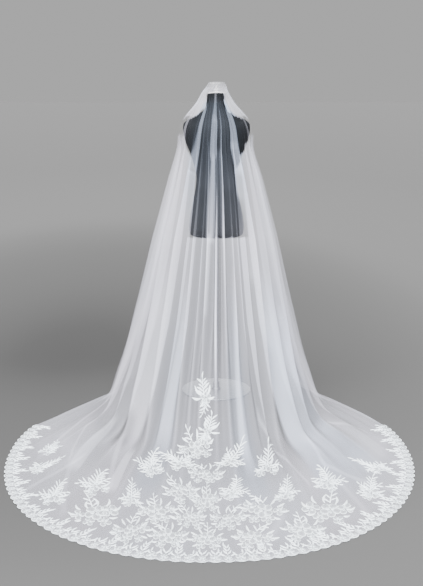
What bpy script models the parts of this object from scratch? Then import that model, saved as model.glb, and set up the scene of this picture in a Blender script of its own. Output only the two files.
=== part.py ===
"""Cathedral bridal veil gathered on a comb, spread over a limbless dress form.

Metres, +Z up. The origin is the centre of the base disc's underside, on the floor.
The train runs out along -Y and the form's chest faces +Y.
"""
import math
from collections import namedtuple

import bmesh
import bpy
import numpy as np
from mathutils import Vector
from mathutils.bvhtree import BVHTree

# Cloth and lace walls
NET_WALL = 0.0010
LACE_WALL = 0.0012
SEAM_GAP = 0.0003
FLOOR_SKIN = 0.00052  # lowest height of the net's middle surface

# Border band along the rounded hem
BORDER_STRETCHES = 4
SCALLOPS_PER_STRETCH = 20
SCALLOP_OUT = 0.008  # how far a scallop's tip stands past the net
SCALLOP_IN = -0.004  # and the notch between two of them
BORDER_ROWS = (0.028, 0.058)  # the two inner edges of the band, from the hem
BORDER_LEAF = 0.098
BORDER_LEAF_NOTCH = 0.070
BORDER_END = 0.0006  # how far a stretch stops short of its share of the hem, of half the hem

# Comb, a thin plate bent round the back of the post
COMB_WIDTH = 0.070
COMB_SAG = 0.0085
COMB_WALL = 0.0014
COMB_SPINE_HEIGHT = 0.0070
COMB_TOP = 1.6520
COMB_TOOTH_LENGTH = 0.028
COMB_TEETH = 12
COMB_TOOTH_SHARE = 0.42
COMB_BACK_Y = -0.0115
COMB_LEAN = 0.35  # how far back the teeth slope for their length

# Stand
BASE_RADIUS = 0.188
BASE_THICK = 0.008
COLLAR_RADIUS = 0.024
COLLAR_HEIGHT = 0.040
POLE_RADIUS = 0.0115
NECK_AXIS_Y = -0.0035
PLATE_RADIUS = 0.0475
PLATE_THICK = 0.006
PLATE_RIM = 0.0012  # bevel round the neck plate
BASE_RIM = 0.0018  # and round the base disc
PLATE_SLOPE = math.radians(8)
ROUND_STEPS = 32
TORSO_STEPS = 28
POST_STEPS = 16
SHARP = math.radians(40)

# Level lines of the net, from the gathered top edge to the hem. Each is a plan curve through
# the middle of the back (0, back_y), the widest point (side_x, side_y) and the free edge
# (edge_x, edge_y), with the height there. fold is the depth of a full fold, lean how far a
# fold tips sideways for its depth, sink how much of the fold lies inside the line, shift the
# line's sideways place, square the power of its round (2 is an ellipse) and rows the steps
# down to the next line.
Level = namedtuple("Level", "name back_y back_z side_x side_y side_z edge_x edge_y edge_z "
                            "fold lean sink shift square rows")
LEVELS = [
    Level("gather", -0.0136, 1.656, 0.0385, 0.000, 1.653, 0.0380, 0.008, 1.652,
          0.0011, 0.0, 0.5, 0.0, 2.0, 1),
    Level("comb", -0.0230, 1.640, 0.0470, 0.000, 1.636, 0.0455, 0.014, 1.634,
          0.0022, 0.0, 0.5, 0.0, 2.0, 1),
    Level("crown", -0.0570, 1.614, 0.0635, 0.000, 1.606, 0.0570, 0.034, 1.604,
          0.0046, 0.2, 0.5, -0.006, 2.0, 1),
    Level("neck", -0.0860, 1.556, 0.0945, 0.002, 1.552, 0.0840, 0.066, 1.550,
          0.0060, 0.5, 0.5, -0.006, 2.0, 1),
    Level("shoulder", -0.1240, 1.452, 0.1765, 0.000, 1.448, 0.1540, 0.108, 1.446,
          0.0045, 0.6, 0.0, -0.003, 2.0, 1),
    Level("bust", -0.1700, 1.330, 0.1900, -0.005, 1.320, 0.1500, 0.138, 1.315,
          0.0150, 0.7, 0.5, -0.005, 2.0, 1),
    Level("waist", -0.2320, 1.170, 0.2285, -0.015, 1.160, 0.1680, 0.142, 1.155,
          0.0280, 0.8, 0.5, -0.003, 2.0, 1),
    Level("hip", -0.3450, 0.880, 0.2980, -0.035, 0.870, 0.2060, 0.142, 0.865,
          0.0400, 1.1, 0.5, -0.005, 2.0, 1),
    Level("knee", -0.5200, 0.500, 0.3895, -0.060, 0.490, 0.2820, 0.128, 0.485,
          0.0460, 1.0, 0.5, -0.011, 2.0, 2),
    Level("shin", -0.7150, 0.205, 0.4795, -0.100, 0.190, 0.3800, 0.085, 0.180,
          0.0400, 0.8, 0.4, -0.016, 2.0, 2),
    Level("contact", -0.9350, 0.022, 0.5630, -0.230, 0.018, 0.4840, 0.005, 0.014,
          0.0200, 0.5, 0.1, -0.014, 2.0, 2),
    Level("spread", -1.1300, 0.003, 0.6700, -0.420, 0.003, 0.6000, -0.128, 0.003,
          0.0080, 0.2, 0.0, -0.012, 2.05, 1),
    Level("train", -1.3950, 0.001, 0.7870, -0.600, 0.001, 0.7260, -0.320, 0.001,
          0.0035, 0.0, 0.0, -0.016, 2.05, 2),
    Level("lace", -1.6750, 0.001, 0.8640, -0.760, 0.001, 0.8040, -0.462, 0.001,
          0.0020, 0.0, 0.0, -0.025, 2.08, 1),
    Level("hem", -1.8870, 0.001, 0.8990, -0.860, 0.001, 0.8510, -0.545, 0.001,
          0.0010, 0.0, 0.0, -0.035, 2.10, 0),
]

# Folds across the net. place runs from -1 at the left free edge to 1 at the right one, depth
# and lean are shares of the level's, and low is the share of depth left near the floor.
Fold = namedtuple("Fold", "place depth lean low")
FOLDS = [
    Fold(-0.950, 0.80, -0.6, 0.70),
    Fold(-0.850, 1.00, -0.7, 0.75),
    Fold(-0.740, 0.90, -0.8, 1.00),
    Fold(-0.630, 1.15, -0.9, 1.00),
    Fold(-0.517, 0.85, -0.9, 1.00),
    Fold(-0.383, 1.10, -1.1, 0.95),
    Fold(-0.260, 1.15, -1.1, 0.90),
    Fold(-0.224, 0.45, -0.5, 0.80),
    Fold(-0.147, 0.80, -0.8, 0.65),
    Fold(-0.101, 0.45, -0.4, 0.40),
    Fold(-0.059, 0.60, -0.5, 0.25),
    Fold(0.011, 0.90, -0.4, 0.20),
    Fold(0.064, 0.50, 0.2, 0.25),
    Fold(0.115, 0.70, 0.5, 0.50),
    Fold(0.172, 0.40, 0.3, 0.70),
    Fold(0.208, 0.75, 0.7, 0.80),
    Fold(0.244, 1.15, 1.1, 0.90),
    Fold(0.389, 0.80, 1.0, 1.00),
    Fold(0.457, 1.10, 1.0, 1.00),
    Fold(0.570, 0.90, 0.9, 1.00),
    Fold(0.670, 1.15, 0.9, 1.00),
    Fold(0.775, 0.85, 0.8, 1.00),
    Fold(0.875, 1.00, 0.7, 0.75),
    Fold(0.960, 0.75, 0.6, 0.70),
]
FREE_EDGE_DEPTH = 0.3
FREE_EDGE_BULGE = 0.6  # how far toward the free edge a level line still bulges

# Sections of the torso and neck: height, half width, depth to the chest and to the back, and
# the share of the neck plate's slope that the section has.
Section = namedtuple("Section", "z half front back slope")
TORSO = [
    Section(0.857, 0.1180, 0.082, 0.084, 0),
    Section(0.866, 0.1360, 0.098, 0.100, 0),
    Section(0.885, 0.1430, 0.104, 0.108, 0),
    Section(0.950, 0.1410, 0.103, 0.108, 0),
    Section(1.050, 0.1220, 0.094, 0.090, 0),
    Section(1.130, 0.1080, 0.086, 0.077, 0),
    Section(1.175, 0.1055, 0.086, 0.076, 0),
    Section(1.235, 0.1180, 0.100, 0.083, 0),
    Section(1.300, 0.1400, 0.122, 0.093, 0),
    Section(1.345, 0.1590, 0.126, 0.098, 0),
    Section(1.390, 0.1710, 0.112, 0.100, 0),
    Section(1.428, 0.1735, 0.088, 0.094, 0),
    Section(1.448, 0.1690, 0.074, 0.084, 0),
    Section(1.468, 0.1440, 0.063, 0.073, 0),
    Section(1.490, 0.1030, 0.055, 0.065, 0),
    Section(1.514, 0.0640, 0.051, 0.058, 0),
    Section(1.550, 0.0530, 0.0465, 0.0535, 0.5),
    Section(1.592, 0.0475, 0.0440, 0.0510, 1),
]
TORSO_SQUARENESS = 2.3

# Turned outlines of the post on the neck plate and of the collar: radius and height
POST = ((0.0155, 0.0), (0.0130, 0.0080), (0.0070, 0.0120), (0.0070, 0.0160), (0.0130, 0.0170),
        (0.0130, 0.0215), (0.0066, 0.0230), (0.0062, 0.0400), (0.0080, 0.0440), (0.0080, 0.0500),
        (0.0050, 0.0530))
COLLAR = ((COLLAR_RADIUS, 0.0), (COLLAR_RADIUS, 0.0040), (0.0175, 0.0100), (0.0160, COLLAR_HEIGHT))

# Lace sprays: the flower's place on the floor plan, the heading of the main stem in degrees
# from +X, the stem's length, how wide the spray is for that length, the slope of the cloth
# there in degrees, and the kind.
Spray = namedtuple("Spray", "name x y heading length spread slope kind")
SPRAYS = [
    Spray("centre_tip", -0.058, -0.716, 100, 0.112, 0.72, 55, "sprig"),
    Spray("centre_stem", -0.046, -0.835, 64, 0.090, 0.90, 30, "sprig"),
    Spray("centre_crown", -0.096, -0.915, 112, 0.120, 0.75, 14, "bloom"),
    Spray("centre_wing_left", -0.158, -1.045, 106, 0.180, 0.60, 5, "sprig"),
    Spray("centre_wing_right", 0.054, -1.022, 64, 0.170, 0.62, 5, "sprig"),
    Spray("centre_flower", -0.052, -1.150, 88, 0.130, 0.66, 2, "bloom"),
    Spray("centre_low_left", -0.150, -1.315, 108, 0.165, 0.50, 0, "bloom"),
    Spray("centre_low_right", 0.056, -1.330, 66, 0.185, 0.50, 0, "sprig"),
    Spray("centre_mid", -0.044, -1.405, 92, 0.165, 0.38, 0, "bloom"),
    Spray("centre_foot_left", -0.110, -1.555, 100, 0.135, 0.52, 0, "bloom"),
    Spray("centre_foot_right", 0.036, -1.565, 80, 0.135, 0.56, 0, "bloom"),
    Spray("centre_foot", -0.040, -1.725, 90, 0.120, 0.62, 0, "bloom"),
    Spray("left_1", -0.285, -1.085, 103, 0.225, 0.46, 1, "sprig"),
    Spray("left_2", -0.345, -1.390, 98, 0.185, 0.44, 0, "sprig"),
    Spray("left_3", -0.505, -1.270, 103, 0.215, 0.50, 0, "sprig"),
    Spray("left_4", -0.776, -1.080, 58, 0.145, 0.56, 0, "sprig"),
    Spray("left_5", -0.662, -1.370, 99, 0.205, 0.46, 0, "sprig"),
    Spray("left_6", -0.478, -1.520, 104, 0.160, 0.68, 0, "bloom"),
    Spray("left_7", -0.326, -1.660, 96, 0.145, 0.56, 0, "bloom"),
    Spray("left_8", -0.772, -0.880, 68, 0.130, 0.56, 0, "sprig"),
    Spray("left_9", -0.238, -1.500, 100, 0.150, 0.56, 0, "bloom"),
    Spray("left_10", -0.186, -1.705, 96, 0.135, 0.60, 0, "bloom"),
    Spray("right_1", 0.216, -1.075, 82, 0.220, 0.44, 1, "sprig"),
    Spray("right_2", 0.178, -1.490, 82, 0.165, 0.60, 0, "bloom"),
    Spray("right_3", 0.276, -1.345, 80, 0.175, 0.46, 0, "sprig"),
    Spray("right_4", 0.460, -1.235, 78, 0.210, 0.50, 0, "sprig"),
    Spray("right_5", 0.432, -1.490, 80, 0.170, 0.66, 0, "bloom"),
    Spray("right_6", 0.698, -1.085, 122, 0.155, 0.60, 0, "sprig"),
    Spray("right_7", 0.624, -1.325, 86, 0.185, 0.54, 0, "sprig"),
    Spray("right_8", 0.316, -1.655, 92, 0.135, 0.66, 0, "bloom"),
    Spray("right_9", 0.132, -1.715, 86, 0.135, 0.66, 0, "bloom"),
]

# What grows from a spray's flower, anticlockwise from the main stem: the angle from that
# stem, the length as a share of it, and the pairs of leaves. No pairs means a petal.
Growth = namedtuple("Growth", "angle length pairs")
GROWTHS = {
    "sprig": [Growth(0, 1.00, 2), Growth(62, 0.62, 1), Growth(142, 0.30, 0),
              Growth(217, 0.30, 0), Growth(297, 0.66, 1)],
    "bloom": [Growth(0, 1.00, 1), Growth(62, 0.78, 1), Growth(127, 0.42, 0),
              Growth(180, 0.40, 0), Growth(233, 0.42, 0), Growth(298, 0.78, 1)],
}
STEM_HALF = 0.036  # of the main stem's length
FLOWER_SHARE = 0.16  # radius at which stems and petals leave the flower, of the main stem
END_LEAF = 0.9  # the leaf at a stem's end, in steps from leaf pair to leaf pair
LEAF_START = 0.25
LEAF_OUT = 0.20
LEAF_ON = 0.27
LEAF_FOOT = 0.62
PETAL_HALF = 0.32
PETAL_FOOT = 0.30
PETAL_BELLY = 0.80


def level_half(level, side, count=240):
    """Half of a level line, from the middle of the back to one free edge, by its length."""
    bend = np.linspace(0.0, math.pi / 2, count)
    power = 2 / level.square
    back = np.stack([
        level.side_x * np.sin(bend) ** power,
        level.side_y - (level.side_y - level.back_y) * np.maximum(np.cos(bend), 0.0) ** power,
        level.back_z + (level.side_z - level.back_z) * np.sin(bend) ** 2,
    ], axis=1)
    t = np.linspace(0.0, 1.0, count // 2)[1:, None]
    start = np.array([level.side_x, level.side_y, level.side_z])
    end = np.array([level.edge_x, level.edge_y, level.edge_z])
    pull = np.array([level.side_x, level.side_y + FREE_EDGE_BULGE * (level.edge_y - level.side_y),
                     0.5 * (level.side_z + level.edge_z)])
    front = (1 - t) ** 2 * start + 2 * t * (1 - t) * pull + t ** 2 * end
    line = np.concatenate([back, front])
    line[:, 0] = line[:, 0] * side + level.shift
    run = np.concatenate([[0.0], np.cumsum(np.linalg.norm(np.diff(line, axis=0), axis=1))])
    return run / run[-1], line


def level_points(level, across):
    """Points of one level line at the places across the net, from -1 to 1."""
    points = np.empty((len(across), 3))
    for side in (-1, 1):
        run, line = level_half(level, side)
        chosen = across * side >= 0
        for axis in range(3):
            points[chosen, axis] = np.interp(np.abs(across[chosen]), run, line[:, axis])
    return points


def level_stations():
    """Distance of each level line from the gathered edge along the middle of the back."""
    middle = np.array([(level.back_y, level.back_z) for level in LEVELS])
    return np.concatenate([[0.0], np.cumsum(np.linalg.norm(np.diff(middle, axis=0), axis=1))])


def along(stations, values, down):
    """Smooth curve through a value at every station, read at the distances in down."""
    slopes = np.gradient(values, stations, axis=0)
    place = np.clip(np.searchsorted(stations, down, side="right") - 1, 0, len(stations) - 2)
    step = stations[place + 1] - stations[place]
    t = (down - stations[place]) / step
    shape = (-1,) + (1,) * (values.ndim - 1)
    t, step = t.reshape(shape), step.reshape(shape)
    return ((2 * t ** 3 - 3 * t ** 2 + 1) * values[place]
            + (t ** 3 - 2 * t ** 2 + t) * step * slopes[place]
            + (3 * t ** 2 - 2 * t ** 3) * values[place + 1]
            + (t ** 3 - t ** 2) * step * slopes[place + 1])


def fold_knots():
    """Ridges and the troughs between them, across the net: places and heights."""
    places, heights = [-1.0], [FREE_EDGE_DEPTH]
    for fold, following in zip(FOLDS, FOLDS[1:]):
        places += [fold.place, 0.5 * (fold.place + following.place)]
        heights += [fold.depth, 0.0]
    places += [FOLDS[-1].place, 1.0]
    heights += [FOLDS[-1].depth, FREE_EDGE_DEPTH]
    return np.array(places), np.array(heights)


def fold_height(across):
    """Height of the folds at the places across the net, as a share of a full fold."""
    places, heights = fold_knots()
    left = np.clip(np.searchsorted(places, across, side="right") - 1, 0, len(places) - 2)
    t = (across - places[left]) / (places[left + 1] - places[left])
    blend = 0.5 - 0.5 * np.cos(math.pi * t)
    return heights[left] * (1 - blend) + heights[left + 1] * blend


def net_points(across, down):
    """The net with its folds, as rows of points from the gathered edge to the hem."""
    stations = level_stations()
    lines = np.stack([level_points(level, across) for level in LEVELS])
    base = along(stations, lines, down)
    by_row = np.gradient(base, down, axis=0)
    by_column = np.gradient(base, across, axis=1)
    outward = np.cross(by_row, by_column)
    outward /= np.linalg.norm(outward, axis=2, keepdims=True)
    sideways = by_column / np.linalg.norm(by_column, axis=2, keepdims=True)

    size, tip, sink = (
        np.interp(down, stations, [getattr(level, column) for level in LEVELS])[:, None]
        for column in ("fold", "lean", "sink"))
    ridges = [fold.place for fold in FOLDS]
    lean = np.interp(across, ridges, [fold.lean for fold in FOLDS])[None, :]
    low = np.interp(across, ridges, [fold.low for fold in FOLDS])[None, :]
    names = [level.name for level in LEVELS]
    knee, shin = stations[names.index("knee")], stations[names.index("shin")]
    fading = np.clip((down - knee) / (shin - knee), 0.0, 1.0)[:, None]
    height = size * (1 - fading * (1 - low)) * (fold_height(across)[None, :] - sink)
    points = base + outward * height[..., None] + sideways * (tip * lean * height)[..., None]
    points[..., 2] = np.maximum(points[..., 2], FLOOR_SKIN)
    return points


def net_columns():
    """Places across the net of every ridge, every trough and the slopes between."""
    places, _ = fold_knots()
    return np.sort(np.concatenate([places, 0.5 * (places[1:] + places[:-1])]))


def net_rows():
    """Distances down the net of its rows: each level line, with the steps between."""
    stations = level_stations()
    rows = []
    for level, start, end in zip(LEVELS, stations, stations[1:]):
        rows.extend(np.linspace(start, end, level.rows + 1)[:-1])
    rows.append(stations[-1])
    return np.array(rows)


def material(name, colour, roughness, metallic=0.0):
    made = bpy.data.materials.new(name)
    made.use_nodes = True
    shader = made.node_tree.nodes["Principled BSDF"]
    shader.inputs["Base Color"].default_value = (*colour, 1.0)
    shader.inputs["Roughness"].default_value = roughness
    shader.inputs["Metallic"].default_value = metallic
    return made


def add_object(name, bm, finish):
    """Turn a finished bmesh into an object with one material."""
    bm.normal_update()
    mesh = bpy.data.meshes.new(name)
    bm.to_mesh(mesh)
    bm.free()
    mesh.materials.append(finish)
    mesh.shade_smooth()
    mesh.set_sharp_from_angle(angle=SHARP)
    made = bpy.data.objects.new(name, mesh)
    bpy.context.collection.objects.link(made)
    return made


def add_wall(made, thickness, offset):
    """Turn a single surface into a closed wall."""
    wall = made.modifiers.new("Wall", "SOLIDIFY")
    wall.thickness = thickness
    wall.offset = offset
    wall.use_rim = True


def face_toward(bm, direction):
    """Turn the faces of a single surface so that most of them look along direction."""
    bm.normal_update()
    toward = Vector(direction)
    if sum(face.normal.dot(toward) * face.calc_area() for face in bm.faces) < 0:
        bmesh.ops.reverse_faces(bm, faces=bm.faces[:])


def build_net(finish):
    """The whole net panel, gathered on the comb and spread over the floor."""
    columns, rows = net_columns(), net_rows()
    points = net_points(columns, rows)
    bm = bmesh.new()
    bmesh.ops.create_grid(bm, x_segments=len(columns) - 1, y_segments=len(rows) - 1, size=1.0)
    bm.verts.ensure_lookup_table()
    for index, vertex in enumerate(bm.verts):
        row, column = divmod(index, len(columns))
        vertex.co = points[row, column]
    bmesh.ops.triangulate(bm, faces=bm.faces[:], quad_method="FIXED")
    face_toward(bm, (0, 0, 1))
    made = add_object("veil_net", bm, finish)
    add_wall(made, NET_WALL, 0.0)
    return made


def surface_tree(made):
    """Search tree of an object as its modifiers leave it."""
    bpy.context.view_layer.update()
    return BVHTree.FromObject(made, bpy.context.evaluated_depsgraph_get())


# Where a lace triangle is tested against the net: shares of its three corners
TEST_STEPS = 10
TESTED = [(a / TEST_STEPS, b / TEST_STEPS, (TEST_STEPS - a - b) / TEST_STEPS)
          for a in range(TEST_STEPS + 1) for b in range(TEST_STEPS + 1 - a)]


def lay_on(tree, points, triangles, drop, reach=0.5, rounds=60):
    """Let a flat lace piece down along drop until it lies on the net, with a seam's gap."""
    lift = -Vector(drop).normalized()

    def ground(point):
        hit = tree.ray_cast(point + lift * reach, -lift)[0]
        return (hit - point).dot(lift) if hit else None

    heights = [ground(point) for point in points]
    lowest = min(height for height in heights if height is not None)
    heights = [lowest if height is None else height for height in heights]
    tests = []
    for corners in triangles:
        for shares in TESTED:
            place = sum((points[c] * share for c, share in zip(corners, shares)), Vector())
            height = ground(place)
            if height is not None:
                tests.append((corners, shares, height))
    for _ in range(rounds):
        for corners, shares, height in tests:
            short = height - sum(heights[c] * share for c, share in zip(corners, shares))
            if short > 0:
                for c, share in zip(corners, shares):
                    heights[c] += short if share > 0 else 0
    return [point + lift * (height + SEAM_GAP) for point, height in zip(points, heights)]


def add_lace(name, bm, tree, drop, finish):
    """One lace piece: a flat surface laid on the net and given its thickness."""
    bm.verts.ensure_lookup_table()
    bm.verts.index_update()
    points = [vertex.co.copy() for vertex in bm.verts]
    triangles = [[vertex.index for vertex in face.verts] for face in bm.faces]
    for vertex, place in zip(bm.verts, lay_on(tree, points, triangles, drop)):
        vertex.co = place
    face_toward(bm, -Vector(drop))
    made = add_object(name, bm, finish)
    add_wall(made, LACE_WALL, 1.0)
    return made


def spray_outline(kind, length, spread):
    """Outline of a spray round its flower, its main stem along +X."""
    core = FLOWER_SHARE * length
    half = STEM_HALF * length
    outline = []
    for growth in GROWTHS[kind]:
        reach = growth.length * length
        if growth.pairs:
            step = (reach - core) / (growth.pairs + END_LEAF)
            side = [(core, half)]
            for pair in range(growth.pairs):
                foot = core + step * (pair + LEAF_START)
                side += [(foot, half),
                         (foot + LEAF_ON * reach, half + LEAF_OUT * reach),
                         (foot + LEAF_FOOT * step, half)]
            local = [(x, -y) for x, y in side] + [(reach, 0.0)] + side[::-1]
        else:
            wide = PETAL_HALF * reach
            local = [(core, -PETAL_FOOT * wide), (PETAL_BELLY * reach, -wide), (reach, 0.0),
                     (PETAL_BELLY * reach, wide)]
        turn = math.radians(growth.angle)
        for x, y in local:
            outline.append((x * math.cos(turn) - y * math.sin(turn),
                            spread * (x * math.sin(turn) + y * math.cos(turn))))
    return outline


def build_spray(spray, tree, finish):
    """A cut-out lace flower with its leafy stems, laid on the net."""
    slope, turn = math.radians(spray.slope), math.radians(spray.heading)
    up_cloth = Vector((0.0, math.cos(slope), math.sin(slope)))
    top = Vector((spray.x, spray.y, 1.0))
    foot = tree.ray_cast(top, Vector((0, 0, -1)))[0]
    bm = bmesh.new()
    corners = []
    for x, y in spray_outline(spray.kind, spray.length, spray.spread):
        right = x * math.cos(turn) - y * math.sin(turn)
        up = x * math.sin(turn) + y * math.cos(turn)
        corners.append(bm.verts.new(foot + Vector((right, 0, 0)) + up_cloth * up))
    bm.faces.new(corners)
    bm.normal_update()
    bmesh.ops.triangulate(bm, faces=bm.faces[:], ngon_method="BEAUTY")
    drop = (0.0, math.sin(slope), -math.cos(slope))
    add_lace("lace_" + spray.name, bm, tree, drop, finish)


def hem_frame(across):
    """Points of the hem on the floor plan and the direction from each into the train."""
    hem = level_points(LEVELS[-1], across)[:, :2]
    run = np.gradient(hem, across, axis=0)
    run /= np.linalg.norm(run, axis=1, keepdims=True)
    inward = np.stack([-run[:, 1], run[:, 0]], axis=1)
    return hem, inward


def build_border(stretch, tree, finish):
    """One stretch of the scalloped band: scallops, a row of eyelets and leaf tips inside."""
    steps = 2 * SCALLOPS_PER_STRETCH
    span = 2.0 / BORDER_STRETCHES
    start = -1.0 + stretch * span
    across = np.linspace(start + BORDER_END, start + span - BORDER_END, steps + 1)
    hem, inward = hem_frame(across)
    bm = bmesh.new()
    bmesh.ops.create_grid(bm, x_segments=steps, y_segments=3, size=1.0)
    bm.verts.ensure_lookup_table()
    for index, vertex in enumerate(bm.verts):
        row, column = divmod(index, steps + 1)
        tip = column % 2 == 1
        depth = (-SCALLOP_OUT if tip else -SCALLOP_IN, *BORDER_ROWS,
                 BORDER_LEAF if tip else BORDER_LEAF_NOTCH)[row]
        place = hem[column] + inward[column] * depth
        vertex.co = (place[0], place[1], 0.0)
    bm.faces.ensure_lookup_table()
    middle = [face for index, face in enumerate(bm.faces) if index // steps == 1]
    bmesh.ops.delete(bm, geom=middle[::2], context="FACES")
    bmesh.ops.triangulate(bm, faces=bm.faces[:], quad_method="SHORT_EDGE")
    add_lace(f"border_{stretch + 1}", bm, tree, (0, 0, -1), finish)


def build_comb(finish):
    """The hair comb: a spine with teeth, bent round the post."""
    pitch = COMB_WIDTH / (COMB_TEETH - 1 + COMB_TOOTH_SHARE)
    edges = []
    for tooth in range(COMB_TEETH):
        left = tooth * pitch - 0.5 * COMB_WIDTH
        edges += [left, left + pitch * COMB_TOOTH_SHARE]
    foot = COMB_TOP - COMB_SPINE_HEIGHT
    heights = (foot - COMB_TOOTH_LENGTH, foot, COMB_TOP)
    steps = len(edges) - 1
    bm = bmesh.new()
    bmesh.ops.create_grid(bm, x_segments=steps, y_segments=2, size=1.0)
    bm.verts.ensure_lookup_table()
    for index, vertex in enumerate(bm.verts):
        row, column = divmod(index, steps + 1)
        x = edges[column]
        y = COMB_BACK_Y + COMB_SAG * (2 * x / COMB_WIDTH) ** 2
        y -= COMB_LEAN * (COMB_TOP - heights[row])
        vertex.co = (x, y, heights[row])
    bm.faces.ensure_lookup_table()
    gaps = [face for index, face in enumerate(bm.faces) if index < steps and index % 2 == 1]
    bmesh.ops.delete(bm, geom=gaps, context="FACES")
    bmesh.ops.triangulate(bm, faces=bm.faces[:], quad_method="SHORT_EDGE")
    face_toward(bm, (0, -1, 0))
    add_wall(add_object("comb", bm, finish), COMB_WALL, 0.0)


def superellipse(section, index):
    """One of the points round a torso section."""
    angle = 2 * math.pi * index / TORSO_STEPS
    across, depth = math.cos(angle), math.sin(angle)
    power = 2 / TORSO_SQUARENESS
    x = section.half * math.copysign(abs(across) ** power, across)
    reach = section.front if depth > 0 else section.back
    y = reach * math.copysign(abs(depth) ** power, depth)
    return x, y, section.z - section.slope * math.tan(PLATE_SLOPE) * y


def build_torso(finish):
    """Torso and neck in one smooth shell through the sections."""
    bm = bmesh.new()
    rings = []
    for section in TORSO:
        ring = [bm.verts.new(superellipse(section, i)) for i in range(TORSO_STEPS)]
        rings.append(ring)
    for lower, upper in zip(rings, rings[1:]):
        edges = []
        for ring in (lower, upper):
            for i, vertex in enumerate(ring):
                pair = (vertex, ring[(i + 1) % TORSO_STEPS])
                edges.append(bm.edges.get(pair) or bm.edges.new(pair))
        bmesh.ops.bridge_loops(bm, edges=edges)
    bm.faces.new(rings[0][::-1])
    bm.faces.new(rings[-1])
    bmesh.ops.recalc_face_normals(bm, faces=bm.faces[:])
    bmesh.ops.triangulate(bm, faces=[face for face in bm.faces if len(face.verts) == 4])
    add_object("torso", bm, finish)


def disc(radius, thick, rim):
    """Radius and height outline of a flat disc with bevelled rims."""
    return ((radius - rim, 0.0), (radius, rim), (radius, thick - rim), (radius - rim, thick))


def turned(profile, steps=ROUND_STEPS):
    """A closed solid turned round Z from a radius and height outline."""
    bm = bmesh.new()
    chain = [bm.verts.new((radius, 0, z)) for radius, z in profile]
    edges = [bm.edges.new(pair) for pair in zip(chain, chain[1:])]
    bmesh.ops.spin(bm, geom=chain + edges, cent=(0, 0, 0), axis=(0, 0, 1),
                   angle=2 * math.pi, steps=steps, use_merge=True)
    bmesh.ops.remove_doubles(bm, verts=bm.verts[:], dist=1e-6)
    bmesh.ops.holes_fill(bm, edges=[edge for edge in bm.edges if edge.is_boundary], sides=0)
    bmesh.ops.recalc_face_normals(bm, faces=bm.faces[:])
    return bm


def moved(bm, place):
    bmesh.ops.translate(bm, verts=bm.verts[:], vec=place)
    return bm


def build_stand(white, steel, silver):
    """Neck plate, post, pole, collar and base disc."""
    slope = math.tan(PLATE_SLOPE)
    seat = TORSO[-1].z + SEAM_GAP / math.cos(PLATE_SLOPE)
    plate = turned(disc(PLATE_RADIUS, PLATE_THICK, PLATE_RIM))
    moved(plate, (0, NECK_AXIS_Y, seat))
    for vertex in plate.verts:
        vertex.co.z -= slope * vertex.co.y
    add_object("neck_plate", plate, white)

    post = turned(POST, POST_STEPS)
    foot_height = seat + PLATE_THICK + SEAM_GAP
    moved(post, (0, NECK_AXIS_Y, foot_height))
    for vertex in post.verts:
        if vertex.co.z < foot_height + SEAM_GAP:
            vertex.co.z -= slope * vertex.co.y
    add_object("neck_post", post, white)

    collar_top = BASE_THICK + SEAM_GAP + COLLAR_HEIGHT
    pole = turned(((POLE_RADIUS, 0.0), (POLE_RADIUS, TORSO[0].z - collar_top - 2 * SEAM_GAP)))
    add_object("pole", moved(pole, (0, 0, collar_top + SEAM_GAP)), steel)
    add_object("pole_collar", moved(turned(COLLAR), (0, 0, BASE_THICK + SEAM_GAP)), steel)
    add_object("base_disc", turned(disc(BASE_RADIUS, BASE_THICK, BASE_RIM)), silver)


def main():
    for made in list(bpy.data.objects):
        bpy.data.objects.remove(made)
    net = material("net", (0.84, 0.84, 0.89), 0.6)
    lace = material("lace", (0.88, 0.91, 0.93), 0.55)
    horn = material("comb", (0.80, 0.80, 0.82), 0.3)
    jersey = material("jersey", (0.050, 0.055, 0.068), 0.85)
    white = material("white", (0.85, 0.85, 0.84), 0.35)
    steel = material("steel", (0.60, 0.61, 0.63), 0.25, 1.0)
    silver = material("silver", (0.70, 0.72, 0.74), 0.25, 1.0)

    tree = surface_tree(build_net(net))
    for stretch in range(BORDER_STRETCHES):
        build_border(stretch, tree, lace)
    for spray in SPRAYS:
        build_spray(spray, tree, lace)
    build_comb(horn)
    build_torso(jersey)
    build_stand(white, steel, silver)


main()
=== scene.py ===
"""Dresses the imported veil: fine net, sewn lace sprays, scalloped border, comb and stand."""
import math
from collections import namedtuple

import bmesh
import bpy
import numpy as np
from bpy.props import FloatProperty, FloatVectorProperty, IntProperty, PointerProperty
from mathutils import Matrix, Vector
from mathutils.bvhtree import BVHTree


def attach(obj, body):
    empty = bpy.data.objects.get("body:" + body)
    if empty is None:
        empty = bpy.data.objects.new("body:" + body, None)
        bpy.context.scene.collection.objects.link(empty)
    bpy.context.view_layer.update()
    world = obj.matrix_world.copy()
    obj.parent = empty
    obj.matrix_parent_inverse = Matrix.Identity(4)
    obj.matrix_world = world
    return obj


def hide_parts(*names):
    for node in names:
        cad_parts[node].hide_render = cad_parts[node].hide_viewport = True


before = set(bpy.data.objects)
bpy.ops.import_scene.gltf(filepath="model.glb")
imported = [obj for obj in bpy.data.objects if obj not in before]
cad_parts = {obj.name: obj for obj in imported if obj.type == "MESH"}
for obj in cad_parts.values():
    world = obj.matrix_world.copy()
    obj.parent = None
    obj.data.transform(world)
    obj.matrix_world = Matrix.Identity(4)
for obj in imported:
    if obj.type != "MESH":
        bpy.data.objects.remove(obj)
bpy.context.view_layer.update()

bl_info = {
    "name": "Bridal veil on a dress form",
    "version": (1, 0, 0),
    "blender": (4, 5, 0),
    "location": "View3D > Sidebar > Veil",
    "description": "Lays the net, sews on its lace and sets it on its stand",
    "category": "Object",
}

BODY = "root"

SEAM_GAP = 0.0003  # between two pieces that touch
FLOOR_SKIN = 0.00052  # lowest height of the net
SHARP_ANGLE = math.radians(40)  # an edge between faces that turn more than this stays sharp

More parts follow.
